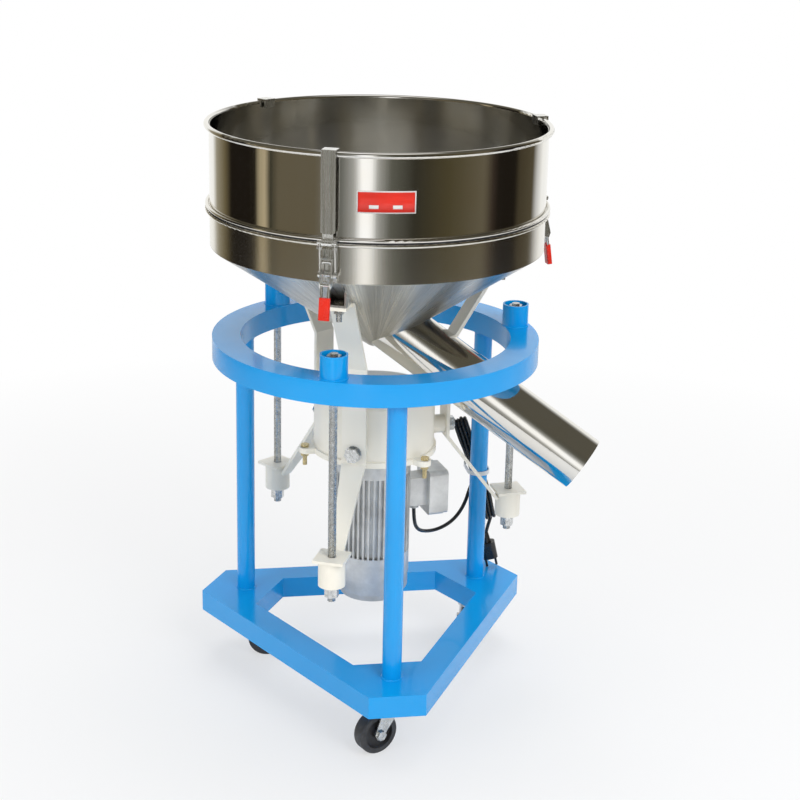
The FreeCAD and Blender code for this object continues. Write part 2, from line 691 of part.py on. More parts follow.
def arm_foot(body):
    """The square foot plate with the cup for the lower rubber, and its clearance hole."""
    bottom = lower_cup_bottom()
    plate = sketch_on(body, lift=S.foot_top - S.foot_thickness)
    rectangle(plate, S.hanger_circle - S.foot_side / 2, S.hanger_circle + S.foot_side / 2,
              -S.foot_side / 2, S.foot_side / 2)
    pad(body, plate, S.foot_thickness)
    cup = sketch_on(body, lift=bottom)
    circle(cup, S.hanger_circle, 0, S.cup_radius)
    pad(body, cup, S.lower_cup_height)
    hollow = sketch_on(body, lift=S.foot_top - S.foot_thickness)
    circle(hollow, S.hanger_circle, 0, S.cup_radius - S.cup_wall)
    cut(body, hollow, S.lower_cup_height - S.cup_wall)
    through = sketch_on(body, lift=S.foot_top)
    circle(through, S.hanger_circle, 0, S.rod_radius + S.rod_play * 2)
    cut(body, through, S.foot_top - bottom)


def arm_bolts():
    """The side bolt into the housing boss and the upright bolt through the pan bracket."""
    pieces = []
    for side, azimuth in HANGER_AZIMUTHS.items():
        bolt = new_body(f"side_bolt_{side}")
        shank = sketch_on(bolt, "YZ_Plane", lift=boss_face() - S.arm_bolt_depth)
        circle(shank, 0, S.arm_bolt_height, S.arm_bolt_radius)
        pad(bolt, shank, S.arm_face - boss_face() + S.arm_bolt_depth + 1)
        washer = sketch_on(bolt, "YZ_Plane", lift=S.arm_face)
        circle(washer, 0, S.arm_bolt_height, S.arm_washer)
        pad(bolt, washer, S.washer_thickness)
        head = sketch_on(bolt, "YZ_Plane", lift=S.arm_face + S.washer_thickness)
        hexagon(head, 0, S.arm_bolt_height, S.arm_bolt_flats)
        pad(bolt, head, S.arm_bolt_head)
        stud = new_body(f"tab_bolt_{side}")
        top = S.arm_top + S.bracket_thickness
        crown = sketch_on(stud, lift=top)
        hexagon(crown, S.tab_bolt_circle, 0, S.tab_bolt_flats)
        pad(stud, crown, S.tab_bolt_head)
        add_cylinder(stud, S.tab_bolt_circle, 0, S.tab_bolt_end, top - S.tab_bolt_end,
                     S.tab_bolt_radius)
        under = nut(f"tab_nut_{side}", S.arm_top - S.arm_thickness - S.tab_nut_height,
                    S.tab_nut_height, S.tab_bolt_flats,
                    S.tab_bolt_radius + S.running_fit, x=S.tab_bolt_circle)
        pieces += [stand(piece, azimuth) for piece in (bolt, stud, under)]
    group("arm_bolts", pieces)


def boss_face():
    """The radius at which a housing boss meets the inner face of its arm."""
    return S.arm_face - S.arm_thickness


# ---- vibrating motor ----

def motor_housing():
    """The round cover over the upper weights, closed on top, with a boss to each arm."""
    body = new_body("motor_housing")
    shell = sketch_on(body, "XZ_Plane")
    wall, outer = S.housing_wall, S.housing_radius
    outline(shell, [(outer - wall, S.flange_top), (outer, S.flange_top),
                    (outer, S.housing_top), (0, S.housing_top),
                    (0, S.housing_top - wall), (outer - wall, S.housing_top - wall)])
    cover = turn(body, shell)
    soften(body, cover, lambda edge, middle: edge.Length > 200
           and middle.z > S.housing_top.value - 1, S.housing_fillet)
    boss = sketch_on(body, "YZ_Plane", lift=outer - wall / 2)
    circle(boss, 0, S.arm_bolt_height, S.boss_radius)
    reach = pad(body, boss, boss_face() - outer + wall / 2)
    hole = sketch_on(body, "YZ_Plane", lift=boss_face())
    circle(hole, 0, S.arm_bolt_height, S.arm_bolt_radius + S.running_fit)
    tapped = cut(body, hole, S.arm_bolt_depth + S.hole_play)
    repeat_around(body, [reach, tapped], 3)
    keep(stand(body, S.hanger_azimuth))


def motor_flange():
    """The flange under the housing, with three ears."""
    body = new_body("motor_flange")
    bottom = S.flange_top - S.flange_thickness
    disc = sketch_on(body, lift=bottom)
    circle(disc, 0, 0, S.flange_radius)
    circle(disc, 0, 0, S.weight_hub + S.turning_gap)
    pad(body, disc, S.flange_thickness)
    ear = sketch_on(body, lift=bottom)
    slot(ear, S.flange_radius - S.ear_radius * 2, S.ear_circle, S.ear_radius)
    lug = pad(body, ear, S.flange_thickness)
    hole = sketch_on(body, lift=S.flange_top)
    circle(hole, S.ear_bolt_circle, 0, S.ear_bolt_radius + S.hole_play)
    drilled = cut(body, hole, S.flange_thickness)
    repeat_around(body, [lug, drilled], 3)
    keep(stand(body, S.ear_azimuth))


def housing_bolts():
    pieces = []
    flange_bottom = S.flange_top - S.flange_thickness
    for number, azimuth in enumerate(EAR_AZIMUTHS):
        bolt = new_body(f"ear_bolt_{number}")
        head = sketch_on(bolt, lift=S.flange_top)
        hexagon(head, S.ear_bolt_circle, 0, S.ear_bolt_flats)
        pad(bolt, head, S.ear_bolt_head)
        add_cylinder(bolt, S.ear_bolt_circle, 0, S.flange_top - S.ear_bolt_length,
                     S.ear_bolt_length, S.ear_bolt_radius)
        under = nut(f"ear_nut_{number}", flange_bottom - S.ear_nut_height,
                    S.ear_nut_height, S.ear_bolt_flats,
                    S.ear_bolt_radius + S.running_fit, x=S.ear_bolt_circle)
        pieces += [stand(bolt, azimuth), stand(under, azimuth)]
    group("housing_bolts", pieces)


def bearing_places():
    """The bottoms of the upper and the lower bearing."""
    flange_bottom = S.flange_top - S.flange_thickness
    return (flange_bottom - S.bearing_inset - S.bearing_width,
            S.motor_bottom + S.bearing_inset)


def motor_body():
    """The motor frame: smooth head, finned barrel, and bearing seats round the rotor."""
    body = new_body("motor_body")
    top = S.flange_top - S.flange_thickness
    upper, lower = bearing_places()
    core = S.motor_radius - S.fin_depth
    seat = S.bearing_radius + S.running_fit
    play = S.turning_gap
    section = sketch_on(body, "XZ_Plane")
    outline(section, [
        (S.shaft_hole, S.motor_bottom), (core, S.motor_bottom), (core, S.fin_top),
        (S.motor_radius, S.fin_top), (S.motor_radius, top), (S.shaft_hole, top),
        (S.shaft_hole, upper + S.bearing_width + play),
        (seat, upper + S.bearing_width + play), (seat, top - S.end_wall - S.rotor_gap),
        (S.stator_bore, top - S.end_wall - S.rotor_gap),
        (S.stator_bore, S.motor_bottom + S.end_wall),
        (seat, S.motor_bottom + S.end_wall), (seat, lower - play),
        (S.shaft_hole, lower - play)])
    turn(body, section)
    fin = sketch_on(body, lift=S.motor_bottom)
    rectangle(fin, core - 1, S.motor_radius, -S.fin_thickness / 2, S.fin_thickness / 2)
    rib = pad(body, fin, S.fin_top - S.motor_bottom)
    repeat_around(body, [rib], S.fin_count)
    keep(stand(body, S.box_azimuth))


def rotor():
    """Shaft with its rotor core, the half-round weights clamped on it, and the bearings."""
    upper, lower = bearing_places()
    core_bottom = S.motor_bottom + S.end_wall + S.rotor_gap
    core_top = S.flange_top - S.flange_thickness - S.end_wall - S.rotor_gap * 2
    shaft = turned("rotor_shaft", [
        (0, S.shaft_bottom), (S.shaft_radius, S.shaft_bottom), (S.shaft_radius, core_bottom),
        (S.rotor_radius, core_bottom), (S.rotor_radius, core_top),
        (S.shaft_radius, core_top), (S.shaft_radius, S.shaft_top), (0, S.shaft_top)])
    keep(stand(shaft))
    bore = S.shaft_radius + S.running_fit
    weights = []
    for name, radius, bottom, height in (
            ("upper_weight", S.upper_weight_radius, S.upper_weight_bottom,
             S.upper_weight_height),
            ("lower_weight", S.lower_weight_radius, S.lower_weight_bottom,
             S.lower_weight_height)):
        body = new_body(name)
        block = sketch_on(body, "XZ_Plane")
        rectangle(block, bore, radius, bottom, bottom + height)
        turn(body, block, angle=S.weight_sweep, both_ways=True)
        hub = sketch_on(body, lift=bottom)
        circle(hub, 0, 0, S.weight_hub)
        circle(hub, 0, 0, bore)
        pad(body, hub, height)
        weights.append(stand(body))
    group("eccentric_weights", weights)
    bearings = [stand(ring(name, bore, S.bearing_radius, bottom, bottom + S.bearing_width))
                for name, bottom in (("upper_bearing", upper), ("lower_bearing", lower))]
    group("motor_bearings", bearings)


def fan_cowl():
    """The closed cover under the motor, stepped and chamfered at its lower edge."""
    outer, wall, step = S.motor_radius, S.cowl_wall, S.cowl_step_depth
    body = turned("fan_cowl", [
        (outer - wall - step, S.motor_bottom), (outer, S.motor_bottom),
        (outer, S.cowl_step), (outer - step, S.cowl_step),
        (outer - step, S.cowl_bottom + S.cowl_chamfer * 1.6),
        (outer - step - S.cowl_chamfer, S.cowl_bottom), (0, S.cowl_bottom),
        (0, S.cowl_bottom + wall), (outer - step - S.cowl_chamfer - wall / 2,
                                    S.cowl_bottom + wall),
        (outer - wall - step, S.cowl_bottom + wall + S.cowl_chamfer * 1.6)])
    keep(stand(body))


def junction_box():
    """The terminal box on its neck, its lid, and the gland boss under the neck."""
    body = new_body("junction_box")
    rounded_box(body, S.box_inner, S.box_outer - S.box_inner, 0)
    neck = sketch_on(body, "YZ_Plane", lift=S.box_inner)
    rectangle(neck, -S.neck_width / 2, S.neck_width / 2, S.neck_bottom,
              S.neck_bottom + S.neck_height)
    pad(body, neck, S.box_inner - S.motor_radius + S.fin_depth, down=True)
    around = sketch_on(body, lift=S.neck_bottom - 1)
    circle(around, 0, 0, S.motor_radius + S.turning_gap)
    cut(body, around, S.neck_height + 2, down=False)
    gland = S.neck_bottom - S.gland_length
    add_cylinder(body, S.gland_circle, S.gland_side, gland, S.gland_length + 1,
                 S.gland_radius)
    cable = sketch_on(body, lift=gland)
    circle(cable, S.gland_circle, S.gland_side, S.lead_radius + S.hole_play)
    cut(body, cable, S.gland_length, down=False)
    lid = new_body("junction_lid")
    rounded_box(lid, S.box_outer, S.box_lid, 1)
    keep(stand(body, S.box_azimuth), stand(lid, S.box_azimuth))


def rounded_box(body, inner, depth, inset):
    """A box face with rounded corners, raised outwards from a radius."""
    sketch = sketch_on(body, "YZ_Plane", lift=inner)
    half = S.box_width / 2 - inset
    rectangle(sketch, -half, half, S.box_bottom + inset, S.box_bottom + S.box_height - inset)
    block = pad(body, sketch, depth)
    soften(body, block, lambda edge, middle: abs(abs(middle.y) - half.value) < 0.1
           and edge.Length < depth.value + 0.1
           and abs(middle.x - (inner + depth / 2).value) < 0.1, S.box_fillet)


# ---- bowl ----

def pan_slope():
    """Rise of the cone for each millimetre outwards."""
    return (S.pan_shoulder - S.pan_tip_height) / (S.bowl_radius - S.pan_tip_radius)


def cone_height(radius):
    """Height of the cone's outer face at a radius."""
    return S.pan_tip_height + pan_slope() * (radius - S.pan_tip_radius)


def collecting_pan():
    """The cone under the mesh, its lip and bead, its brackets and the spout's mouth."""
    body = new_body("pan_shell")
    slope = pan_slope()
    lift = S.bowl_wall * function("sqrt", slope * slope + 1)
    inner = S.bowl_radius - S.bowl_wall
    bead_height = S.pan_top - S.pan_bead
    shell = sketch_on(body, "XZ_Plane")
    outline(shell, [
        (0, S.pan_tip_height), (S.pan_tip_radius, S.pan_tip_height),
        (S.bowl_radius, S.pan_shoulder), (S.bowl_radius, S.pan_top - S.lip_web),
        (S.lip_radius, S.pan_top - S.lip_web), (S.lip_radius, S.pan_top),
        (inner, S.pan_top), (inner, cone_height(inner) + lift),
        (S.pan_tip_radius, S.pan_tip_height + lift), (0, S.pan_tip_height + lift)])
    turn(body, shell)
    bead = sketch_on(body, "XZ_Plane")
    circle(bead, S.lip_radius, bead_height, S.pan_bead)
    turn(body, bead)
    repeat_around(body, pan_bracket(body), 3)
    stand(body, S.hanger_azimuth)
    keep(pierced("collecting_pan", body, S.spout_radius - S.spout_wall))


def pierced(name, body, radius):
    """The body with a round way through it along the spout's axis."""
    way = new_body(f"{name}_way")
    bore = leaning_sketch(way, 0, S.spout_start, S.spout_dip + 90)
    circle(bore, 0, 0, radius)
    pad(way, bore, S.spout_length)
    stand(way, S.spout_azimuth)
    piece = doc.addObject("Part::Cut", name)
    piece.Label = name
    piece.Base, piece.Tool = body, way
    return piece


def pan_bracket(body):
    """A tab over the arm's tab, with two webs up to the cone."""
    start = S.arm_shoulder
    tab = sketch_on(body, lift=S.arm_top)
    rectangle(tab, start, S.arm_tab_end, -S.arm_tab_width / 2, S.arm_tab_width / 2)
    plate = pad(body, tab, S.bracket_thickness)
    hole = sketch_on(body, lift=S.arm_top)
    circle(hole, S.tab_bolt_circle, 0, S.tab_bolt_radius + S.hole_play)
    drilled = cut(body, hole, S.bracket_thickness, down=False)
    features = [plate, drilled]
    for sign in (-1, 1):
        web = sketch_on(body, "XZ_Plane",
                        lift=sign * (S.arm_tab_width / 2 - S.bracket_web / 2))
        outline(web, [(start, S.arm_top), (S.arm_tab_end, S.arm_top),
                      (S.arm_tab_end, cone_height(S.arm_tab_end) + 1),
                      (start, cone_height(start) + 1)])
        features.append(pad(body, web, S.bracket_web, both_ways=True))
    return features


def discharge_spout():
    """A tube that slants down out of the cone, cut where it meets the cone."""
    body = new_body("discharge_spout")
    start = leaning_sketch(body, 0, S.spout_start, S.spout_dip + 90)
    circle(start, 0, 0, S.spout_radius)
    circle(start, 0, 0, S.spout_radius - S.spout_wall)
    pad(body, start, S.spout_length)
    inside = sketch_on(body, "XZ_Plane")
    outline(inside, [(0, S.pan_tip_height), (S.pan_tip_radius, S.pan_tip_height),
                     (S.bowl_radius, S.pan_shoulder), (0, S.pan_shoulder)])
    turn(body, inside, kind="Groove")
    keep(stand(body, S.spout_azimuth))


def sieve():
    """Gasket, mesh and the sieve frame with its two beads."""
    gasket_top = S.pan_top + S.gasket_thickness
    mesh_top = gasket_top + S.mesh_thickness
    inner = S.bowl_radius - S.bowl_wall
    keep(stand(ring("pan_gasket", S.gasket_inner, S.gasket_outer, S.pan_top, gasket_top)))
    keep(stand(ring("sieve_mesh", 0, S.mesh_radius, gasket_top, mesh_top)))
    body = new_body("sieve_frame")
    wall = sketch_on(body, "XZ_Plane")
    outline(wall, [(inner, mesh_top), (S.lip_radius, mesh_top),
                   (S.lip_radius, mesh_top + S.lip_web),
                   (S.bowl_radius, mesh_top + S.lip_web), (S.bowl_radius, S.rim_height),
                   (inner, S.rim_height)])
    turn(body, wall)
    for radius, height, bead in ((S.lip_radius, mesh_top + S.frame_bead, S.frame_bead),
                                 (S.rim_radius, S.rim_height, S.rim_bead)):
        roll = sketch_on(body, "XZ_Plane")
        circle(roll, radius, height, bead)
        turn(body, roll)
    keep(stand(body))


# ---- toggle latches ----

def latches():
    bases = []
    for side, azimuth in HANGER_AZIMUTHS.items():
        bases.append(stand(latch_base(side), azimuth))
        for make in (latch_lever, latch_grip, latch_bail, latch_strap):
            keep(stand(make(side), azimuth))
    group("latch_bases", bases)


def latch_base(side):
    """A plate welded to the pan, with two ears and the lever's pin."""
    body = new_body(f"latch_base_{side}")
    plate = sketch_on(body, "YZ_Plane", lift=S.bowl_radius)
    half = S.latch_plate_width / 2
    rectangle(plate, -half, half, S.latch_plate_bottom, S.latch_plate_top)
    pad(body, plate, S.latch_plate)
    ears = sketch_on(body, "XZ_Plane")
    root = S.bowl_radius + S.latch_plate / 2
    x, z, eye = S.lever_pivot_x, S.lever_pivot_z, S.ear_eye
    outline(ears, [(root, z - eye), (x, z - eye), (x, z + eye), (root, z + eye * 2)])
    pad(body, ears, (S.ear_half_gap + S.ear_thickness) * 2, both_ways=True)
    add_cross_pin(body, x, z, (S.ear_half_gap + S.ear_thickness) * 2, eye)
    gap = sketch_on(body, "XZ_Plane")
    rectangle(gap, S.bowl_radius + S.latch_plate, x + eye * 2, z - eye * 2, z + eye * 3)
    cut(body, gap, S.ear_half_gap * 2, both_ways=True)
    add_cross_pin(body, x, z, lever_outside() + S.turning_gap * 2, S.latch_pin)
    return body


def lever_outside():
    """Overall width over the lever's two side plates."""
    return (S.ear_half_gap + S.ear_thickness + S.turning_gap + S.lever_thickness) * 2


def latch_lever(side):
    """Two side plates with the bail's pin and two wires down to the grip."""
    body = new_body(f"latch_lever_{side}")
    x, z, eye = S.lever_pivot_x, S.lever_pivot_z, S.eye_radius
    low_x, low_z = S.bail_pivot_x, S.bail_pivot_z
    end_x, end_z = S.handle_x, S.handle_z
    sides = sketch_on(body, "XZ_Plane")
    outline(sides, [(x - eye, z + eye / 2), (x - eye / 2, z + eye), (x + eye / 2, z + eye),
                    (x + eye, z + eye / 2), (end_x + eye, end_z + eye / 2),
                    (end_x + eye / 2, end_z - eye), (end_x - eye, end_z - eye / 2),
                    (low_x - eye / 2, low_z - eye), (low_x - eye, low_z + eye / 2)])
    pad(body, sides, lever_outside(), both_ways=True)
    inside = sketch_on(body, "XZ_Plane")
    spare = eye * 2
    rectangle(inside, low_x - spare, end_x + spare, end_z - spare, z + spare)
    cut(body, inside, lever_outside() - S.lever_thickness * 2, both_ways=True)
    pivot = sketch_on(body, "XZ_Plane")
    circle(pivot, x, z, S.latch_pin + S.running_fit)
    cut(body, pivot, lever_outside(), both_ways=True)
    pin = S.latch_pin
    add_cross_pin(body, low_x, low_z, (S.bail_half_width + S.eye_half_width) * 2 + 1, pin)
    add_cross_pin(body, end_x, end_z, lever_outside(), pin)
    wires = handle_sketch(body)
    for sign in (-1, 1):
        circle(wires, 0, sign * S.handle_half_gap, S.wire_radius)
    pad(body, wires, handle_length() - S.turning_gap, down=True)
    return body


def handle_slope():
    """How far the handle leans outwards from straight down, as rise over drop."""
    return (S.handle_end_x - S.handle_x) / (S.handle_z - S.handle_end_z)


def handle_length():
    slope = handle_slope()
    return (S.handle_z - S.handle_end_z) * function("sqrt", slope * slope + 1)


def handle_sketch(body):
    """A sketch square to the handle's wires, at the top of the handle."""
    return leaning_sketch(body, S.handle_x, S.handle_z, -function("atan", handle_slope()))


def latch_grip(side):
    """A plastic grip moulded over the two wires."""
    body = new_body(f"latch_grip_{side}")
    block = handle_sketch(body)
    half_x, half_y = S.grip_thickness / 2, S.grip_width / 2
    rectangle(block, -half_x, half_x, -half_y, half_y)
    length = handle_length()
    whole = pad(body, block, length, down=True)
    spare = handle_sketch(body)
    rectangle(spare, -half_x * 2, half_x * 2, -half_y * 2, half_y * 2)
    shortened = cut(body, spare, length - S.grip_length)
    soften(body, shortened, lambda edge, middle: edge.Length > S.grip_length.value - 1,
           S.grip_fillet)
    wires = handle_sketch(body)
    for sign in (-1, 1):
        circle(wires, 0, sign * S.handle_half_gap, S.wire_radius + S.running_fit)
    cut(body, wires, length - S.turning_gap)
    return body


def latch_bail(side):
    """A wire bail: two eyes on the lever's pin, two legs with nuts, and the cross bar."""
    body = new_body(f"latch_bail_{side}")
    x, z = S.bail_pivot_x, S.bail_pivot_z
    run, rise = S.bar_x - x, S.bar_z - z
    lean = function("atan", run / rise)
    length = function("sqrt", run * run + rise * rise)
    add_cross_pin(body, x, z, (S.bail_half_width + S.eye_half_width) * 2, S.eye_radius)
    between = sketch_on(body, "XZ_Plane")
    circle(between, x, z, S.eye_radius * 2)
    cut(body, between, (S.bail_half_width - S.eye_half_width) * 2, both_ways=True)
    legs = leaning_sketch(body, x, z, lean)
    nuts = leaning_sketch(body, x + (length - S.bail_nut_drop) * function("sin", lean),
                          z + (length - S.bail_nut_drop) * function("cos", lean), lean)
    for sign in (-1, 1):
        circle(legs, 0, sign * S.bail_half_width, S.wire_radius)
        hexagon(nuts, 0, sign * S.bail_half_width, S.bail_nut_flats)
    pad(body, legs, length)
    pad(body, nuts, S.bail_nut_height)
    hole = sketch_on(body, "XZ_Plane")
    circle(hole, x, z, S.latch_pin + S.running_fit)
    cut(body, hole, S.bail_half_width * 4, both_ways=True)
    add_cross_pin(body, S.bar_x, S.bar_z, S.bar_half_length * 2, S.bar_radius)
    return body


def latch_strap(side):
    """A flat strap hooked over the rim, with a tongue curled round the bail's bar."""
    body = new_body(f"latch_strap_{side}")
    half = S.strap_thickness / 2
    leg = S.strap_leg_face - half
    face = S.strap_face + half
    top = S.rim_height + S.rim_bead + S.turning_gap + half
    curl = S.bar_radius + S.turning_gap + half
    spine = sketch_on(body, "XZ_Plane")
    outline(spine, [(leg, S.strap_leg_bottom), (leg, top), (face, top),
                    (face, S.tongue_top), (S.bar_x - curl, S.bar_z + curl),
                    (S.bar_x - curl, S.bar_z)], closed=False)
    end = sketch_on(body, lift=S.strap_leg_bottom)
    rectangle(end, leg - half, leg + half, -S.strap_width / 2, S.strap_width / 2)
    sweep = body.newObject("PartDesign::AdditivePipe", f"{body.Name}_plate")
    sweep.Profile = end
    sweep.Spine = spine
    sweep.Transition = "Right corner"
    trim = sketch_on(body, "YZ_Plane", lift=face)
    for sign in (-1, 1):
        near, far = sign * S.tongue_width / 2, sign * S.strap_width
        outline(trim, [(near, S.bar_z - 1), (near, S.tongue_top),
                       (sign * S.strap_width / 2, S.tongue_top + S.strap_thickness),
                       (far, S.tongue_top + S.strap_thickness), (far, S.bar_z - 1)])
    cut(body, trim, S.strap_thickness * 4, both_ways=True)
    hook = sketch_on(body, lift=S.bar_z)
    rectangle(hook, S.bar_x - curl - half, S.bar_x - curl + half,
              -S.tongue_width / 2, S.tongue_width / 2)
    axis = hook.addGeometry(Part.LineSegment(
        Vector(S.bar_x.value, -5, 0), Vector(S.bar_x.value, 5, 0)), True)
    pin_down(hook, axis, 1, S.bar_x, -5)
    pin_down(hook, axis, 2, S.bar_x, 5)
    feature(body, "Revolution", hook, ReferenceAxis=(hook, ["Axis0"]),
            Angle=S.hook_sweep, Reversed=True)
    return body


# ---- power lead ----

def rounded_path(points, share=0.45):
    """Straight runs joined by tangent arcs, each as large as its runs allow."""
    points = [Vector(*point) for point in points]
    edges, radii, start = [], [], points[0]
    for before, corner, after in zip(points, points[1:], points[2:]):
        back, ahead = before - corner, after - corner
        trim = share * min(back.Length, ahead.Length)
        half_turn = (math.pi - back.getAngle(ahead)) / 2
        radii.append(trim / math.tan(half_turn))
        first = corner + back.normalize() * trim
        last = corner + ahead.normalize() * trim
        to_middle = (back + ahead).normalize()
        depth = radii[-1] / math.cos(half_turn) - radii[-1]
        edges += [Part.LineSegment(start, first).toShape(),
                  Part.Arc(first, corner + to_middle * depth, last).toShape()]
        start = last
    edges.append(Part.LineSegment(start, points[-1]).toShape())
    return Part.Wire(edges), radii


def lead_tube(name, route):
    """A round tube along a rounded route; prints its radii and checks its volume."""
    path, radii = rounded_path(route)
    radius = S.lead_radius.value
    direction = Vector(*route[1]) - Vector(*route[0])
    section = Part.Wire(Part.Circle(Vector(*route[0]), direction, radius).toShape())
    tube = path.makePipeShell([section], True, False)
    expected = math.pi * radius ** 2 * path.Length
    print(name, "length", round(path.Length), "radii", [round(r) for r in radii],
          "volume ratio", round(tube.Volume / expected, 4))
    piece = doc.addObject("Part::Feature", name)
    piece.Label = name
    piece.Shape = tube
    piece.Placement = FreeCAD.Placement()
    bind(piece, "Placement.Base.x", S.axis_x)
    bind(piece, "Placement.Base.y", S.axis_y)
    nodes.append(piece)
    cord_pieces.append(piece)


def lead():
    lead_tube("power_lead", LEAD_ROUTE)
    lead_tube("power_lead_tail", TAIL_ROUTE)
    for piece in (lead_hank(), plug(), cable_tie()):
        nodes.append(piece)
        cord_pieces.append(piece)


def settle(body, x, y, z, axis, angle):
    """Place a loose piece by its own middle, leaning about one axis."""
    body.Placement = FreeCAD.Placement(Vector(), FreeCAD.Rotation(axis, 1))
    bind(body, "Placement.Base.x", S.axis_x + x)
    bind(body, "Placement.Base.y", S.axis_y + y)
    bind(body, "Placement.Base.z", z)
    bind(body, "Placement.Rotation.Angle", angle)
    return body


def lead_hank():
    """The folded lead as one rounded bundle."""
    body = new_body("lead_hank")
    sketch = sketch_on(body, "YZ_Plane")
    reach = (S.hank_length - S.hank_width) / 2
    sketch.AttachmentOffset = FreeCAD.Placement(
        Vector(), FreeCAD.Rotation(Vector(0, 0, 1), 90))
    slot(sketch, -reach, reach, S.hank_width / 2)
    bundle = pad(body, sketch, S.hank_depth, both_ways=True)
    soften(body, bundle, lambda edge, middle: edge.Length > S.hank_width.value,
           S.hank_fillet)
    lean = FreeCAD.Rotation(Vector(0, 0, 1), 90)
    body.Placement = FreeCAD.Placement(Vector(), lean)
    return settle(body, S.hank_x, S.hank_y, S.hank_z, Vector(0, 1, 0), S.hank_lean)


def cable_tie():
    """A band round the right post and the hank behind it."""
    body = new_body("cable_tie")
    azimuth = POST_AZIMUTHS["right"]
    post_x = S.post_circle * function("sin", azimuth)
    post_y = -S.post_circle * function("cos", azimuth)
    inner = S.post_radius + S.tie_slack
    start = S.tie_slack - S.turning_gap
    band = sketch_on(body, lift=S.tie_height)
    for radius in (inner, inner + S.tie_thickness):
        slot(band, start, S.hank_y - post_y, radius)
    pad(body, band, S.tie_band)
    hank_x = S.hank_x + (S.tie_height + S.tie_band / 2 - S.hank_z) * function(
        "tan", S.hank_lean)
    body.Placement = FreeCAD.Placement(Vector(), FreeCAD.Rotation(Vector(0, 0, 1), 1))
    bind(body, "Placement.Rotation.Angle",
         90 - function("atan", (hank_x - post_x) / (S.hank_y - post_y)))
    bind(body, "Placement.Base.x", S.axis_x + post_x)
    bind(body, "Placement.Base.y", S.axis_y + post_y)
    return body


def plug():
    """A moulded plug with a tapered neck and two round pins."""
    body = new_body("plug")
    half_width, half_depth = S.plug_width / 2, S.plug_thickness / 2
    block = sketch_on(body)
    rectangle(block, -half_width, half_width, -half_depth, half_depth)
    housing = pad(body, block, S.plug_length)
    soften(body, housing, lambda edge, middle: edge.Length > S.plug_length.value - 1,
           half_depth * 0.8)
    neck = sketch_on(body, lift=S.plug_length)
    circle(neck, 0, 0, S.plug_neck)
    cone = pad(body, neck, S.plug_length * 0.6)
    cone.TaperAngle = -6
    for sign in (-1, 1):
        pins = sketch_on(body)
        circle(pins, sign * S.pin_spacing / 2, 0, S.pin_radius)
        pad(body, pins, S.pin_length, down=True)
    return settle(body, S.plug_x, S.plug_y, S.plug_z, Vector(0, 1, 0), S.plug_lean)


# ---- the whole machine ----

def check(pieces):
    """Stop if any object failed or any piece has no sound shape."""
    for item in doc.Objects:
        if "Invalid" in item.State or "Error" in item.State:
            raise RuntimeError(f"{item.Name} failed: {item.State}")
    for piece in pieces:
        if piece.Shape.isNull() or not piece.Shape.isValid():
            raise RuntimeError(f"{piece.Label} has no sound shape")


base_frame()
posts_and_ring()
casters()
hangers()
for side_name, side_azimuth in HANGER_AZIMUTHS.items():
    keep(pierced(f"arm_{side_name}", stand(arm(side_name), side_azimuth),
                 S.spout_radius + S.spout_relief))
arm_bolts()
motor_housing()
motor_flange()
housing_bolts()
motor_body()
rotor()
fan_cowl()
junction_box()
collecting_pan()
discharge_spout()
sieve()
latches()
lead()
doc.recompute()
check(nodes)

machine = [piece.Shape for piece in nodes if piece not in cord_pieces]
bounds = Part.makeCompound(machine).optimalBoundingBox(False)
sheet.set("A1", str(-round(bounds.Center.x, 2)))
sheet.set("A2", str(-round(bounds.Center.y, 2)))
doc.recompute()
check(nodes)

os.makedirs("parts", exist_ok=True)
for node in nodes:
    node.Shape.exportStep(f"parts/{node.Label}.step")
print("axis", sheet.get("axis_x"), sheet.get("axis_y"), "bounds", bounds, "nodes", len(nodes))
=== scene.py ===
"""Dresses the vibrating sieve: finishes, welds, label, threads, the power lead, light and camera."""
import json
import math

import bmesh
import bpy
from mathutils import Matrix, Vector

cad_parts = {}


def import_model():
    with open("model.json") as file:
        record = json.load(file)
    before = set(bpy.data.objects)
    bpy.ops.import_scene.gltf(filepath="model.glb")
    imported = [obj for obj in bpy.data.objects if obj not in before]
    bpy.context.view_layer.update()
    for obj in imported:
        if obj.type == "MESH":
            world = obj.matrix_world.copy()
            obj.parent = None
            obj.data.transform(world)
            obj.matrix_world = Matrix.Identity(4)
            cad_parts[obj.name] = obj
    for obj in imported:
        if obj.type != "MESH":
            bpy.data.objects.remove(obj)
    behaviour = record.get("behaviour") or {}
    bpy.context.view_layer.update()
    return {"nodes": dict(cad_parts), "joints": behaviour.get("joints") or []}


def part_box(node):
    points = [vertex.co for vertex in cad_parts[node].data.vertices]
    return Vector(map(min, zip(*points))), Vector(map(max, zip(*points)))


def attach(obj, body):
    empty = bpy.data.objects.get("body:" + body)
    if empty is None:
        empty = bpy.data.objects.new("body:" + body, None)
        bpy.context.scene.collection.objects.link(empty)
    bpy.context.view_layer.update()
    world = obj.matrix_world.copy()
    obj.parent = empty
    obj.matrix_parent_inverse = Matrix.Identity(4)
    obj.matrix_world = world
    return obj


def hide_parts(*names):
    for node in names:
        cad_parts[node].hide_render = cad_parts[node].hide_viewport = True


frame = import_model()
NODES = frame["nodes"]
JOINTS = {joint["name"]: joint for joint in frame["joints"]}
SIDES = ("front", "right", "left")


# ---- places read from the frame ----

def middle(node):
    low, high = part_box(node)
    return (Vector(low) + Vector(high)) / 2


def half_width(node):
    low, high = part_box(node)
    return (high[0] - low[0]) / 2


def low_z(node):
    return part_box(node)[0][2]


def high_z(node):
    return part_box(node)[1][2]


MESH_OVERHANG = 0.0006      # the wire cloth reaches this far past the bowl's outside
UP = Vector((0, 0, 1))
AXIS = middle("sieve_frame")
AXIS.z = 0
BOWL_RADIUS = half_width("sieve_mesh") - MESH_OVERHANG


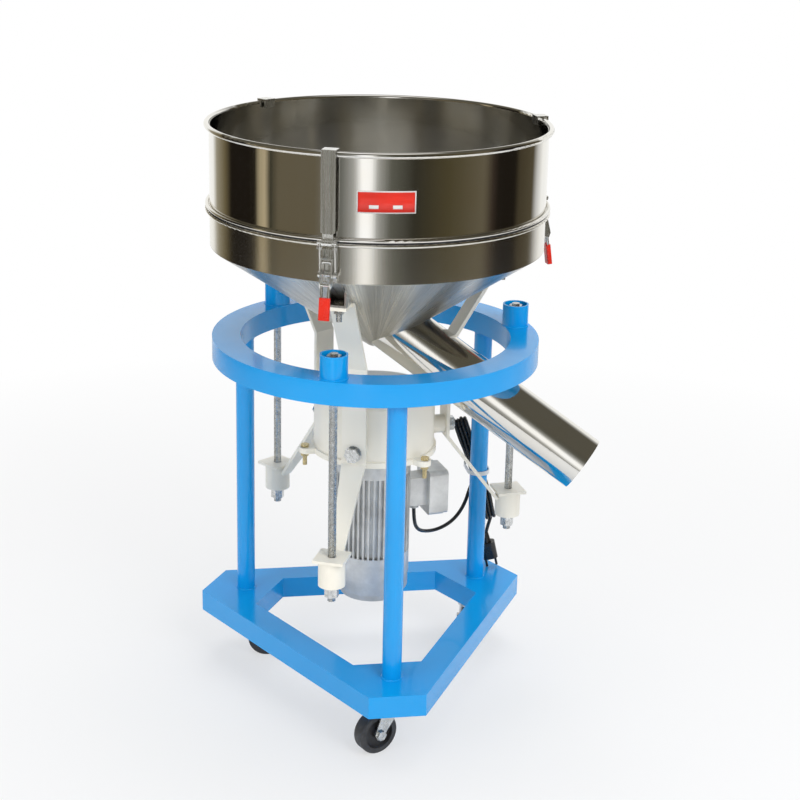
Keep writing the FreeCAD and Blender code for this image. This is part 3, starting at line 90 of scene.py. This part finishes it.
def around(azimuth, radius, height):
    """A point about the machine's axis; azimuth 0 is the front (-Y), growing to the right."""
    angle = math.radians(azimuth)
    return Vector((AXIS.x + radius * math.sin(angle), AXIS.y - radius * math.cos(angle), height))


def azimuth_of(point):
    return math.degrees(math.atan2(point.x - AXIS.x, -(point.y - AXIS.y)))


def from_axis(x, y, z):
    """A point given in millimetres about the machine's axis."""
    return Vector((AXIS.x + x / 1000, AXIS.y + y / 1000, z / 1000))


# ---- materials ----

def add_node(tree, kind, inputs=(), **settings):
    """A shader node with its settings; each input is a plain value or a socket to link."""
    item = tree.nodes.new(kind)
    for name, value in settings.items():
        setattr(item, name, value)
    for socket, value in dict(inputs).items():
        if isinstance(value, bpy.types.NodeSocket):
            tree.links.new(value, item.inputs[socket])
        else:
            item.inputs[socket].default_value = value
    return item


def rgba(color):
    """A plain color with its alpha; a socket stays as it is."""
    return (*color, 1) if isinstance(color, tuple) else color


def scaled(color, share):
    return tuple(channel * share for channel in color)


class Surface:
    """A Principled material with a few procedural helpers, all in object coordinates."""

    def __init__(self, name, color, metallic=0.0, roughness=0.5, **sockets):
        self.material = bpy.data.materials.new(name)
        self.material.use_nodes = True
        self.tree = self.material.node_tree
        self.shader = self.tree.nodes["Principled BSDF"]
        self.set("Base Color", (*color, 1))
        self.set("Metallic", metallic)
        self.set("Roughness", roughness)
        for socket, value in sockets.items():
            self.set(socket.replace("_", " "), value)
        self.place = self.node("ShaderNodeTexCoord").outputs["Object"]
        self.height = None

    def set(self, socket, value):
        self.shader.inputs[socket].default_value = value

    def link(self, value, socket):
        self.tree.links.new(value, self.shader.inputs[socket])

    def node(self, kind, inputs=(), **settings):
        return add_node(self.tree, kind, inputs, **settings)

    def stretched(self, x, y, z):
        return self.node("ShaderNodeMapping", {"Vector": self.place,
                                               "Scale": (x, y, z)}).outputs["Vector"]

    def noise(self, scale, detail=3, place=None, roughness=0.55):
        return self.node("ShaderNodeTexNoise", {
            "Vector": place or self.place, "Scale": scale, "Detail": detail,
            "Roughness": roughness}).outputs["Fac"]

    def math(self, operation, first, second=0.0):
        return self.node("ShaderNodeMath", {0: first, 1: second},
                         operation=operation).outputs[0]

    def vector(self, operation, inputs):
        return self.node("ShaderNodeVectorMath", inputs, operation=operation).outputs[0]

    def spread(self, value, low, high, start=0.3, end=0.7):
        """Map a pattern, between start and end, to a range."""
        return self.node("ShaderNodeMapRange", {
            "Value": value, "From Min": start, "From Max": end,
            "To Min": low, "To Max": high}).outputs["Result"]

    def mix(self, amount, first, second):
        """Mix two colors, each a tuple or a socket."""
        return self.node("ShaderNodeMix", {0: amount, 6: rgba(first), 7: rgba(second)},
                         data_type="RGBA").outputs[2]

    def bump(self, value, strength, distance):
        """Add one layer of bump over those before."""
        inputs = {"Height": value, "Strength": strength, "Distance": distance}
        if self.height:
            inputs["Normal"] = self.height
        self.height = self.node("ShaderNodeBump", inputs).outputs["Normal"]
        self.link(self.height, "Normal")


def enamel(name, color, dark, orange_peel=0.03, roughness=0.2, coat=0.3):
    """Sprayed gloss enamel: slight colour drift, orange peel and a clear gloss."""
    surface = Surface(name, color, roughness=roughness, Coat_Weight=coat, Coat_Roughness=0.05)
    drift = surface.noise(5, 4)
    surface.link(surface.mix(surface.spread(drift, 0, 1), color, dark), "Base Color")
    surface.link(surface.spread(surface.noise(40, 3), roughness - 0.02, roughness + 0.05),
                 "Roughness")
    surface.bump(surface.noise(300, 2), orange_peel, 0.0003)
    return surface.material


def about_axis(surface, turns, rise):
    """Coordinates for marks that run up and down or in and out round the machine's axis."""
    flat = surface.vector("SUBTRACT", {0: surface.place, 1: tuple(AXIS)})
    flat = surface.vector("MULTIPLY", {0: flat, 1: (1, 1, 0)})
    outward = surface.vector("NORMALIZE", {0: flat})
    wide = surface.vector("SCALE", {0: outward, "Scale": turns})
    return surface.vector("ADD", {0: wide, 1: surface.stretched(0, 0, rise)})


def polished_steel(name, color, roughness=0.07, streaks=0.05, turns=16.0, waves=0.08):
    """Polished sheet: fine polishing lines, faint clouds, a warm tint and slight dents."""
    surface = Surface(name, color, metallic=1.0, roughness=roughness)
    lines = surface.noise(6, 4, about_axis(surface, turns, 0.6))
    clouds = surface.noise(9, 3)
    warm = (color[0] * 0.98, color[1] * 0.93, color[2] * 0.83)
    surface.link(surface.mix(surface.spread(clouds, 0, 0.55), color, warm), "Base Color")
    surface.link(surface.spread(lines, roughness * 0.7, roughness * 1.7), "Roughness")
    surface.bump(lines, streaks, 0.0003)
    surface.bump(surface.noise(6, 2), waves, 0.004)
    return surface.material


def brushed_pan(name, color, hoop_from, hoop_to):
    """Sheet pan: a satin hoop above a cone ground in radial strokes; the cone's colour carries
    painted dark reflections in broad bands round the axis and along the strokes.
    """
    surface = Surface(name, color, metallic=1.0, roughness=0.3)
    strokes = surface.noise(7, 5, about_axis(surface, 13, 1.2), roughness=0.7)
    reflection_bands = surface.noise(3, 3, about_axis(surface, 2.2, 0.5))
    z = surface.node("ShaderNodeSeparateXYZ", {"Vector": surface.place}).outputs["Z"]
    hoop = surface.spread(z, 0, 1, hoop_from, hoop_to)
    # painted reflection: the cone's colour is darkened in broad bands round the axis and along the
    # strokes, standing in for the dark room that the steel mirrors
    painted_reflection_dark = scaled(color, 0.55)
    cone_painted_color = surface.mix(surface.spread(reflection_bands, 0, 1, 0.35, 0.65), color, painted_reflection_dark)
    cone_painted_color = surface.mix(surface.spread(strokes, 0, 0.5, 0.35, 0.7), cone_painted_color,
                             scaled(painted_reflection_dark, 0.7))
    hoop_color = surface.mix(surface.spread(surface.noise(9, 3), 0, 0.6), color,
                             (color[0] * 0.96, color[1] * 0.92, color[2] * 0.82))
    surface.link(surface.mix(hoop, cone_painted_color, hoop_color), "Base Color")
    cone_rough = surface.spread(strokes, 0.22, 0.42)
    surface.link(surface.node("ShaderNodeMix", {0: hoop, 2: cone_rough, 3: 0.17},
                              data_type="FLOAT").outputs[0], "Roughness")
    surface.bump(strokes, 0.10, 0.0003)
    surface.bump(surface.noise(7, 2), 0.10, 0.004)
    return surface.material


def zinc(name, color=(0.80, 0.81, 0.80), speckle=140, thread=0.0):
    """Bright zinc plating, slightly mottled; a rod also shows a thread of the given pitch."""
    surface = Surface(name, color, metallic=1.0, roughness=0.3)
    mottle = surface.noise(speckle, 4)
    surface.link(surface.mix(surface.spread(mottle, 0, 0.5, 0.35, 0.65), color,
                             scaled(color, 0.45)), "Base Color")
    surface.link(surface.spread(surface.noise(speckle * 2, 2), 0.2, 0.36), "Roughness")
    if thread:
        z = surface.node("ShaderNodeSeparateXYZ", {"Vector": surface.place}).outputs["Z"]
        wave = surface.math("SINE", surface.math("MULTIPLY", z, 2 * math.pi / thread))
        surface.bump(wave, 0.45, 0.0006)
    surface.bump(mottle, 0.08, 0.0003)
    return surface.material


def casting(name, color, roughness=0.42):
    """Silver-painted cast aluminium with a fine pebbled skin and duller patches."""
    surface = Surface(name, color, metallic=0.6, roughness=roughness)
    grains = surface.noise(260, 3)
    surface.link(surface.mix(surface.spread(surface.noise(26, 4), 0, 0.8), color,
                             scaled(color, 0.62)), "Base Color")
    surface.link(surface.spread(grains, roughness - 0.08, roughness + 0.14), "Roughness")
    surface.bump(grains, 0.22, 0.0005)
    return surface.material


def rubber(name, color, roughness=0.62):
    surface = Surface(name, color, roughness=roughness)
    light = tuple(channel + 0.03 for channel in color)
    surface.link(surface.mix(surface.spread(surface.noise(40, 4), 0, 1), color, light),
                 "Base Color")
    surface.link(surface.spread(surface.noise(90, 3), roughness - 0.1, roughness + 0.15),
                 "Roughness")
    surface.bump(surface.noise(300, 3), 0.15, 0.0004)
    return surface.material


def moulded(name, color, roughness=0.3):
    """Moulded plastic: even colour, faint flow marks and a soft gloss."""
    surface = Surface(name, color, roughness=roughness, Coat_Weight=0.2)
    surface.link(surface.mix(surface.spread(surface.noise(30, 3), 0, 1), color,
                             scaled(color, 0.82)), "Base Color")
    surface.link(surface.spread(surface.noise(120, 2), roughness - 0.06, roughness + 0.1),
                 "Roughness")
    surface.bump(surface.noise(500, 2), 0.06, 0.0003)
    return surface.material


def woven_wire(name, pitch=0.0012):
    """Wire cloth: over-and-under bumps in two directions, with painted shade between the wires."""
    surface = Surface(name, (0.5, 0.5, 0.48), metallic=0.9, roughness=0.35)
    parts = surface.node("ShaderNodeSeparateXYZ", {"Vector": surface.place})
    waves = [surface.math("ABSOLUTE", surface.math("SINE", surface.math(
        "MULTIPLY", parts.outputs[axis], math.pi / pitch))) for axis in ("X", "Y")]
    weave = surface.math("MAXIMUM", *waves)
    # painted shade: the gaps between the wires are near black for the shade seen through the
    # openings
    surface.link(surface.mix(surface.spread(weave, 0, 1, 0.55, 0.9), (0.05, 0.05, 0.05),
                             (0.62, 0.62, 0.6)), "Base Color")
    surface.bump(weave, 0.5, 0.0003)
    return surface.material


PAN_SHOULDER = (0.848, 0.852)      # heights between which the cone gives way to the hoop
THREAD_PITCH = 0.002

BLUE = enamel("blue_enamel", (0.002, 0.36, 0.84), (0.002, 0.33, 0.79))
CREAM = enamel("cream_enamel", (0.94, 0.90, 0.79), (0.92, 0.87, 0.75), roughness=0.3,
               coat=0.15)
STEEL = polished_steel("polished_stainless", (0.80, 0.79, 0.76))
PAN = brushed_pan("brushed_pan", (0.78, 0.76, 0.71), *PAN_SHOULDER)
SMALL_STEEL = polished_steel("small_stainless", (0.88, 0.88, 0.86), roughness=0.22)
ZINC = zinc("zinc_plate")
ROD = zinc("threaded_rod", thread=THREAD_PITCH)
BRASS = zinc("yellow_zinc", color=(0.70, 0.58, 0.32))
CASTING = casting("motor_casting", (0.84, 0.84, 0.82))
COWL = casting("cowl_casting", (0.80, 0.81, 0.81), roughness=0.36)
BLACK = rubber("black_rubber", (0.018, 0.018, 0.019))
TYRE = rubber("wheel_tread", (0.03, 0.03, 0.032), roughness=0.45)
RED = moulded("red_grip", (0.80, 0.028, 0.012), roughness=0.24)
SHEATH = moulded("cord_sheath", (0.012, 0.012, 0.012), roughness=0.28)
WHITE = moulded("white_tie", (0.82, 0.84, 0.85))
MESH = woven_wire("wire_cloth")
LABEL_RED = moulded("label_red", (0.80, 0.03, 0.015), roughness=0.35)
LABEL_WHITE = moulded("label_white", (0.82, 0.80, 0.78), roughness=0.4)

FINISH = {
    "base_frame": BLUE, "top_ring": BLUE, "hanger_cups": BLUE, "caster_plates": ZINC,
    "caster_bolts": ZINC, "upper_rubbers": BLACK, "lower_rubbers": BLACK,
    "hanger_rods": ROD, "rod_nuts": ZINC, "arm_bolts": ZINC, "motor_housing": CREAM,
    "motor_flange": CREAM, "housing_bolts": BRASS, "motor_body": CASTING,
    "fan_cowl": COWL, "junction_box": CASTING, "junction_lid": CASTING,
    "rotor_shaft": SMALL_STEEL, "eccentric_weights": SMALL_STEEL,
    "motor_bearings": SMALL_STEEL, "collecting_pan": PAN, "discharge_spout": STEEL,
    "sieve_frame": STEEL, "sieve_mesh": MESH, "pan_gasket": BLACK,
    "latch_bases": SMALL_STEEL, "power_lead": SHEATH, "power_lead_tail": SHEATH,
    "lead_hank": SHEATH, "plug": SHEATH, "cable_tie": WHITE,
}
for side in SIDES:
    FINISH |= {f"post_{side}": BLUE, f"caster_fork_{side}": ZINC,
               f"caster_axle_{side}": ZINC, f"caster_wheel_{side}": TYRE,
               f"arm_{side}": CREAM, f"latch_lever_{side}": SMALL_STEEL,
               f"latch_grip_{side}": RED, f"latch_bail_{side}": SMALL_STEEL,
               f"latch_strap_{side}": SMALL_STEEL}
for name, node in NODES.items():
    node.data.materials.clear()
    node.data.materials.append(FINISH[name])


# ---- small pieces that the solids leave out ----

def from_bmesh(name, shape, material, body):
    """A smooth-shaded object made from a bmesh, which rides on a body."""
    bmesh.ops.recalc_face_normals(shape, faces=shape.faces)
    mesh = bpy.data.meshes.new(name)
    shape.to_mesh(mesh)
    shape.free()
    for face in mesh.polygons:
        face.use_smooth = True
    piece = bpy.data.objects.new(name, mesh)
    bpy.context.scene.collection.objects.link(piece)
    mesh.materials.append(material)
    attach(piece, body)
    return piece


HANGER_CIRCLE = 0.2625
CUP_RADIUS = 0.0235
POST_BEAD, CUP_BEAD = 0.0022, 0.0018
BEAD_SIDES = 8
BEAD_STEP = 0.0025


def bead(name, centre, radius, size):
    """A weld bead on the frame: a rippled tube along a level circle."""
    shape = bmesh.new()
    count = max(16, int(2 * math.pi * radius / BEAD_STEP))
    path = [centre + Vector((radius * math.cos(2 * math.pi * k / count),
                             radius * math.sin(2 * math.pi * k / count), 0))
            for k in range(count)]
    rings = []
    for index, point in enumerate(path):
        along = (path[(index + 1) % count] - path[index - 1]).normalized()
        across = along.cross(UP).normalized()
        up = across.cross(along)
        swell = size * (1 + 0.16 * math.sin(index * 2.1) + 0.08 * math.sin(index * 0.7))
        rings.append([shape.verts.new(point + swell * (
            across * math.cos(2 * math.pi * k / BEAD_SIDES)
            + up * math.sin(2 * math.pi * k / BEAD_SIDES))) for k in range(BEAD_SIDES)])
    for first, second in zip(rings, rings[1:] + rings[:1]):
        for k in range(BEAD_SIDES):
            after = (k + 1) % BEAD_SIDES
            shape.faces.new((first[k], first[after], second[after], second[k]))
    from_bmesh(name, shape, BLUE, "frame")


def welds():
    """Beads at the foot and head of each post and round each hanger cup."""
    for side in SIDES:
        post = middle(f"post_{side}")
        for label, height in (("foot", high_z("base_frame")), ("head", low_z("top_ring"))):
            bead(f"weld_post_{label}_{side}", Vector((post.x, post.y, height)),
                 half_width(f"post_{side}"), POST_BEAD)
        lever = Vector(JOINTS[f"lever_{side}_turn"]["pos_m"])
        bead(f"weld_cup_{side}", around(azimuth_of(lever), HANGER_CIRCLE, high_z("top_ring")),
             CUP_RADIUS, CUP_BEAD)


welds()


# ---- power lead ----

# millimetres about the machine's axis: from the box to the hank, and from the hank to the plug
LEAD_ROUTE = [(76.8, 35.47, 346), (76.8, 35.47, 314), (84, 55, 281), (106, 86, 264),
              (133, 114, 259), (160, 137, 268), (180, 160, 289), (191, 183, 315),
              (203, 193, 342)]
TAIL_ROUTE = [(236.6, 193.4, 257), (233.2, 195.2, 241), (229.4, 198, 225),
              (226.6, 200, 207)]
LEAD_RADIUS = 0.0035
HANK_CENTRE = (202.5, 193.4, 353)
HANK_LEAN = -19.5
HANK_TURNS = 4
HANK_HALF = 0.096           # from the middle of a turn to where its fold starts
HANK_SHORTER = 0.002        # every second turn is this much shorter at each end
FOLD_RADIUS = 0.0115
OUTER_TURN = 0.0105         # how far the outermost turns lie from the middle one
FOLD_ANGLES = (0.3, 0.9, 1.57, 2.24, 2.84)


def hank_turns():
    """Long loops behind the post: up on the near side, over, and down on the far side."""
    centre = from_axis(*HANK_CENTRE)
    lean = math.radians(HANK_LEAN)
    along = Vector((math.sin(lean), 0, math.cos(lean)))
    across = Vector((math.cos(lean), 0, -math.sin(lean)))
    points = []
    for turn in range(HANK_TURNS):
        side = OUTER_TURN * (turn - (HANK_TURNS - 1) / 2) / ((HANK_TURNS - 1) / 2)
        half = HANK_HALF - HANK_SHORTER * (turn % 2)
        near = [(s * half, -FOLD_RADIUS) for s in (-0.5, 0.1, 0.6)]
        top = [(half + FOLD_RADIUS * math.sin(t), -FOLD_RADIUS * math.cos(t))
               for t in FOLD_ANGLES]
        far = [(s * half, FOLD_RADIUS) for s in (0.5, 0.0, -0.5)]
        low = [(-half - FOLD_RADIUS * math.sin(t), FOLD_RADIUS * math.cos(t))
               for t in FOLD_ANGLES]
        if turn == 0:
            near = near[2:]
        if turn == HANK_TURNS - 1:
            far, low = far[:2], []
        for s, y in near + top + far + low:
            points.append(centre + along * s + across * side + Vector((0, y, 0)))
    return points


def power_lead():
    """One smooth cord from the junction box through the hank to the plug."""
    points = ([from_axis(*point) for point in LEAD_ROUTE] + hank_turns()
              + [from_axis(*point) for point in TAIL_ROUTE])
    curve = bpy.data.curves.new("power_cord", "CURVE")
    curve.dimensions = "3D"
    curve.bevel_depth = LEAD_RADIUS
    curve.bevel_resolution = 5
    curve.use_fill_caps = True
    spline = curve.splines.new("NURBS")
    spline.points.add(len(points) - 1)
    for control, point in zip(spline.points, points):
        control.co = (*point, 1)
    spline.order_u = 3
    spline.use_endpoint_u = True
    spline.resolution_u = 10
    curve.materials.append(SHEATH)
    cord = bpy.data.objects.new("power_cord", curve)
    bpy.context.scene.collection.objects.link(cord)
    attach(cord, "frame")
    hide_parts("power_lead", "lead_hank", "power_lead_tail")


power_lead()


# ---- label ----

LABEL_AZIMUTH, LABEL_HEIGHT = 1.9, 0.984
FIELD_AZIMUTHS, FIELD_HEIGHT = (-2.0, 5.4), 0.9765
PLATE_THICKNESS = 0.0003
PATCH_STEPS = 24


def patch(name, azimuth, height, width, tall, lift, material):
    """A thin curved plate on the sieve frame, lifted clear of the steel or the plate below."""
    shape = bmesh.new()
    radius = BOWL_RADIUS + lift
    columns = []
    for k in range(PATCH_STEPS + 1):
        angle = azimuth + math.degrees((k / PATCH_STEPS - 0.5) * width / radius)
        columns.append([shape.verts.new(around(angle, radius, height + z))
                        for z in (-tall / 2, tall / 2)])
    for first, second in zip(columns, columns[1:]):
        shape.faces.new((first[0], second[0], second[1], first[1]))
    piece = from_bmesh(name, shape, material, "vibrator")
    solid = piece.modifiers.new("thickness", "SOLIDIFY")
    solid.thickness = PLATE_THICKNESS
    solid.offset = 1


patch("label_border", LABEL_AZIMUTH, LABEL_HEIGHT, 0.094, 0.036, 0.0002, LABEL_WHITE)
patch("label_plate", LABEL_AZIMUTH, LABEL_HEIGHT, 0.090, 0.032, 0.0006, LABEL_RED)
for number, azimuth in enumerate(FIELD_AZIMUTHS):
    patch(f"label_field_{number}", azimuth, FIELD_HEIGHT, 0.015, 0.006, 0.001, LABEL_WHITE)


# ---- floor, light and camera ----

FLOOR_REACH = 2.3
FLOOR_CORNERS = 96
FADE_FROM, FADE_TO = 0.5, 2.1       # distances between which the floor turns white
FADE_SHARE = (0.55, 1.0)


def floor():
    """A pale round floor that fades to white for the camera, so it has no visible edge."""
    mesh = bpy.data.meshes.new("floor")
    mesh.from_pydata([(FLOOR_REACH * math.cos(2 * math.pi * k / FLOOR_CORNERS),
                       FLOOR_REACH * math.sin(2 * math.pi * k / FLOOR_CORNERS), 0)
                      for k in range(FLOOR_CORNERS)], [], [tuple(range(FLOOR_CORNERS))])
    piece = bpy.data.objects.new("floor", mesh)
    bpy.context.scene.collection.objects.link(piece)
    surface = Surface("floor_paint", (0.80, 0.80, 0.80), roughness=0.9)
    path = surface.node("ShaderNodeLightPath")
    glow = surface.node("ShaderNodeEmission", {"Color": (1, 1, 1, 1), "Strength": 1.0})
    far = surface.node("ShaderNodeVectorMath", {0: surface.place}, operation="LENGTH")
    fade = surface.spread(far.outputs["Value"], *FADE_SHARE, FADE_FROM, FADE_TO)
    share = surface.math("MULTIPLY", path.outputs["Is Camera Ray"], fade)
    blend = surface.node("ShaderNodeMixShader", {0: share, 1: surface.shader.outputs[0],
                                                 2: glow.outputs[0]})
    output = next(item for item in surface.tree.nodes if item.type == "OUTPUT_MATERIAL")
    surface.tree.links.new(blend.outputs[0], output.inputs[0])
    mesh.materials.append(surface.material)


# the studio as the polished steel sees it, as a share of the way round: 0 behind the machine,
# 0.25 to its left, 0.5 towards the camera and 0.75 to its right
PALE, DIM, DARK, BLACK_BAND = ((1.0, 1.0, 0.98), (0.135, 0.115, 0.075), (0.06, 0.048, 0.028),
                               (0.012, 0.009, 0.006))
ROOM = [(0.0, PALE), (0.085, PALE), (0.11, (0.35, 0.32, 0.24)), (0.15, (0.16, 0.13, 0.07)),
        (0.175, BLACK_BAND), (0.25, BLACK_BAND), (0.26, (0.4, 0.34, 0.22)),
        (0.275, (0.5, 0.42, 0.28)), (0.285, (0.03, 0.03, 0.02)), (0.305, DIM), (0.385, DIM),
        (0.40, (0.2, 0.19, 0.16)), (0.43, (0.14, 0.14, 0.125)), (0.455, (0.42, 0.42, 0.4)),
        (0.468, (1.2, 1.2, 1.2)), (0.485, (1.2, 1.2, 1.2)), (0.497, (0.4, 0.4, 0.38)),
        (0.52, (0.12, 0.12, 0.1)), (0.565, (0.035, 0.032, 0.022)), (0.63, (0.075, 0.062, 0.03)),
        (0.705, DIM), (0.725, (0.04, 0.028, 0.02)), (0.74, BLACK_BAND), (0.785, BLACK_BAND),
        (0.80, DARK), (0.85, (0.09, 0.075, 0.045)), (0.87, (0.6, 0.6, 0.6)), (0.9, PALE)]
CEILING, CEILING_FROM, CEILING_TO = (0.10, 0.092, 0.07), 0.3, 0.62
OVERHEAD, OVERHEAD_FROM, OVERHEAD_TO = (1.1, 1.1, 1.1), 0.90, 0.97
SKY, SKY_STRENGTH = (0.95, 0.97, 1.0, 1), 0.62


def world():
    """White to the camera, an even sky for light, and a banded studio for reflections."""
    studio = bpy.data.worlds.new("studio")
    bpy.context.scene.world = studio
    studio.use_nodes = True
    tree = studio.node_tree
    tree.nodes.clear()

    def node(kind, inputs=(), **settings):
        return add_node(tree, kind, inputs, **settings)

    def share_of(value, low, high):
        """0 at low and 1 at high."""
        return node("ShaderNodeMapRange", {"Value": value, "From Min": low,
                                           "From Max": high}).outputs[0]

    def covered(amount, under, color):
        return node("ShaderNodeMix", {0: amount, 6: under, 7: (*color, 1)},
                    data_type="RGBA").outputs[2]

    path = node("ShaderNodeLightPath")
    direction = node("ShaderNodeTexCoord").outputs["Generated"]
    parts = node("ShaderNodeSeparateXYZ", {0: direction})
    # the angle round the room: 0 towards the camera, growing to the right
    forward = node("ShaderNodeMath", {0: parts.outputs["Y"], 1: -1}, operation="MULTIPLY")
    turn = node("ShaderNodeMath", {0: parts.outputs["X"], 1: forward.outputs[0]},
                operation="ARCTAN2")
    bands = node("ShaderNodeValToRGB",
                 {"Fac": share_of(turn.outputs[0], -math.pi, math.pi)})
    while len(bands.color_ramp.elements) < len(ROOM):
        bands.color_ramp.elements.new(0.5)
    for element, (position, color) in zip(bands.color_ramp.elements, ROOM):
        element.position = position
        element.color = (*color, 1)
    height = parts.outputs["Z"]
    walls = covered(share_of(height, CEILING_FROM, CEILING_TO), bands.outputs["Color"],
                    CEILING)
    room = node("ShaderNodeBackground", {"Color": covered(
        share_of(height, OVERHEAD_FROM, OVERHEAD_TO), walls, OVERHEAD)})
    sky = node("ShaderNodeBackground", {"Color": SKY, "Strength": SKY_STRENGTH})
    white = node("ShaderNodeBackground", {"Color": (1, 1, 1, 1)})
    light = node("ShaderNodeMixShader", {0: path.outputs["Is Glossy Ray"],
                                         1: sky.outputs[0], 2: room.outputs[0]})
    seen = node("ShaderNodeMixShader", {0: path.outputs["Is Camera Ray"],
                                        1: light.outputs[0], 2: white.outputs[0]})
    node("ShaderNodeOutputWorld", {0: seen.outputs[0]})


def lamp(name, place, aim, size, power):
    """A rectangular lamp that the polished steel doesn't mirror."""
    light = bpy.data.lights.new(name, "AREA")
    light.shape = "RECTANGLE"
    light.size, light.size_y = size
    light.energy = power
    item = bpy.data.objects.new(name, light)
    item.location = place
    item.rotation_euler = (Vector(aim) - Vector(place)).to_track_quat("-Z", "Y").to_euler()
    item.visible_glossy = False
    bpy.context.scene.collection.objects.link(item)


PICTURE_WIDTH = 800                 # pixels, the unit of CAMERA_FOCUS
SENSOR_WIDTH = 36                   # millimetres
CAMERA_FOCUS = 1675.1
CAMERA_PLACE = (-0.07244, -2.83996, 1.54406)
CAMERA_TURN = (-0.02769, 0.29669, 0.02187)      # yaw, pitch and roll in radians
CAMERA_SHIFT = -0.075


def camera():
    """Stands in front, a little left, and looks down at the machine."""
    data = bpy.data.cameras.new("camera")
    data.lens = CAMERA_FOCUS / PICTURE_WIDTH * SENSOR_WIDTH
    data.sensor_width = SENSOR_WIDTH
    data.shift_y = CAMERA_SHIFT
    item = bpy.data.objects.new("camera", data)
    yaw, pitch, roll = CAMERA_TURN
    item.location = CAMERA_PLACE
    turn = (Matrix.Rotation(yaw, 3, "Z") @ Matrix.Rotation(math.pi / 2 - pitch, 3, "X")
            @ Matrix.Rotation(roll, 3, "Z"))
    item.rotation_euler = turn.to_euler()
    bpy.context.scene.collection.objects.link(item)
    bpy.context.scene.camera = item


floor()
world()
lamp("key", (1.6, -2.6, 2.6), (0, 0, 0.6), (1.6, 1.6), 60)
lamp("fill", (-2.2, -1.8, 1.4), (0, 0, 0.6), (1.4, 2.0), 18)
lamp("top", (0.2, 0.6, 3.2), (0, 0, 0.8), (2.0, 2.0), 35)
camera()
bpy.context.scene.view_settings.view_transform = "Standard"
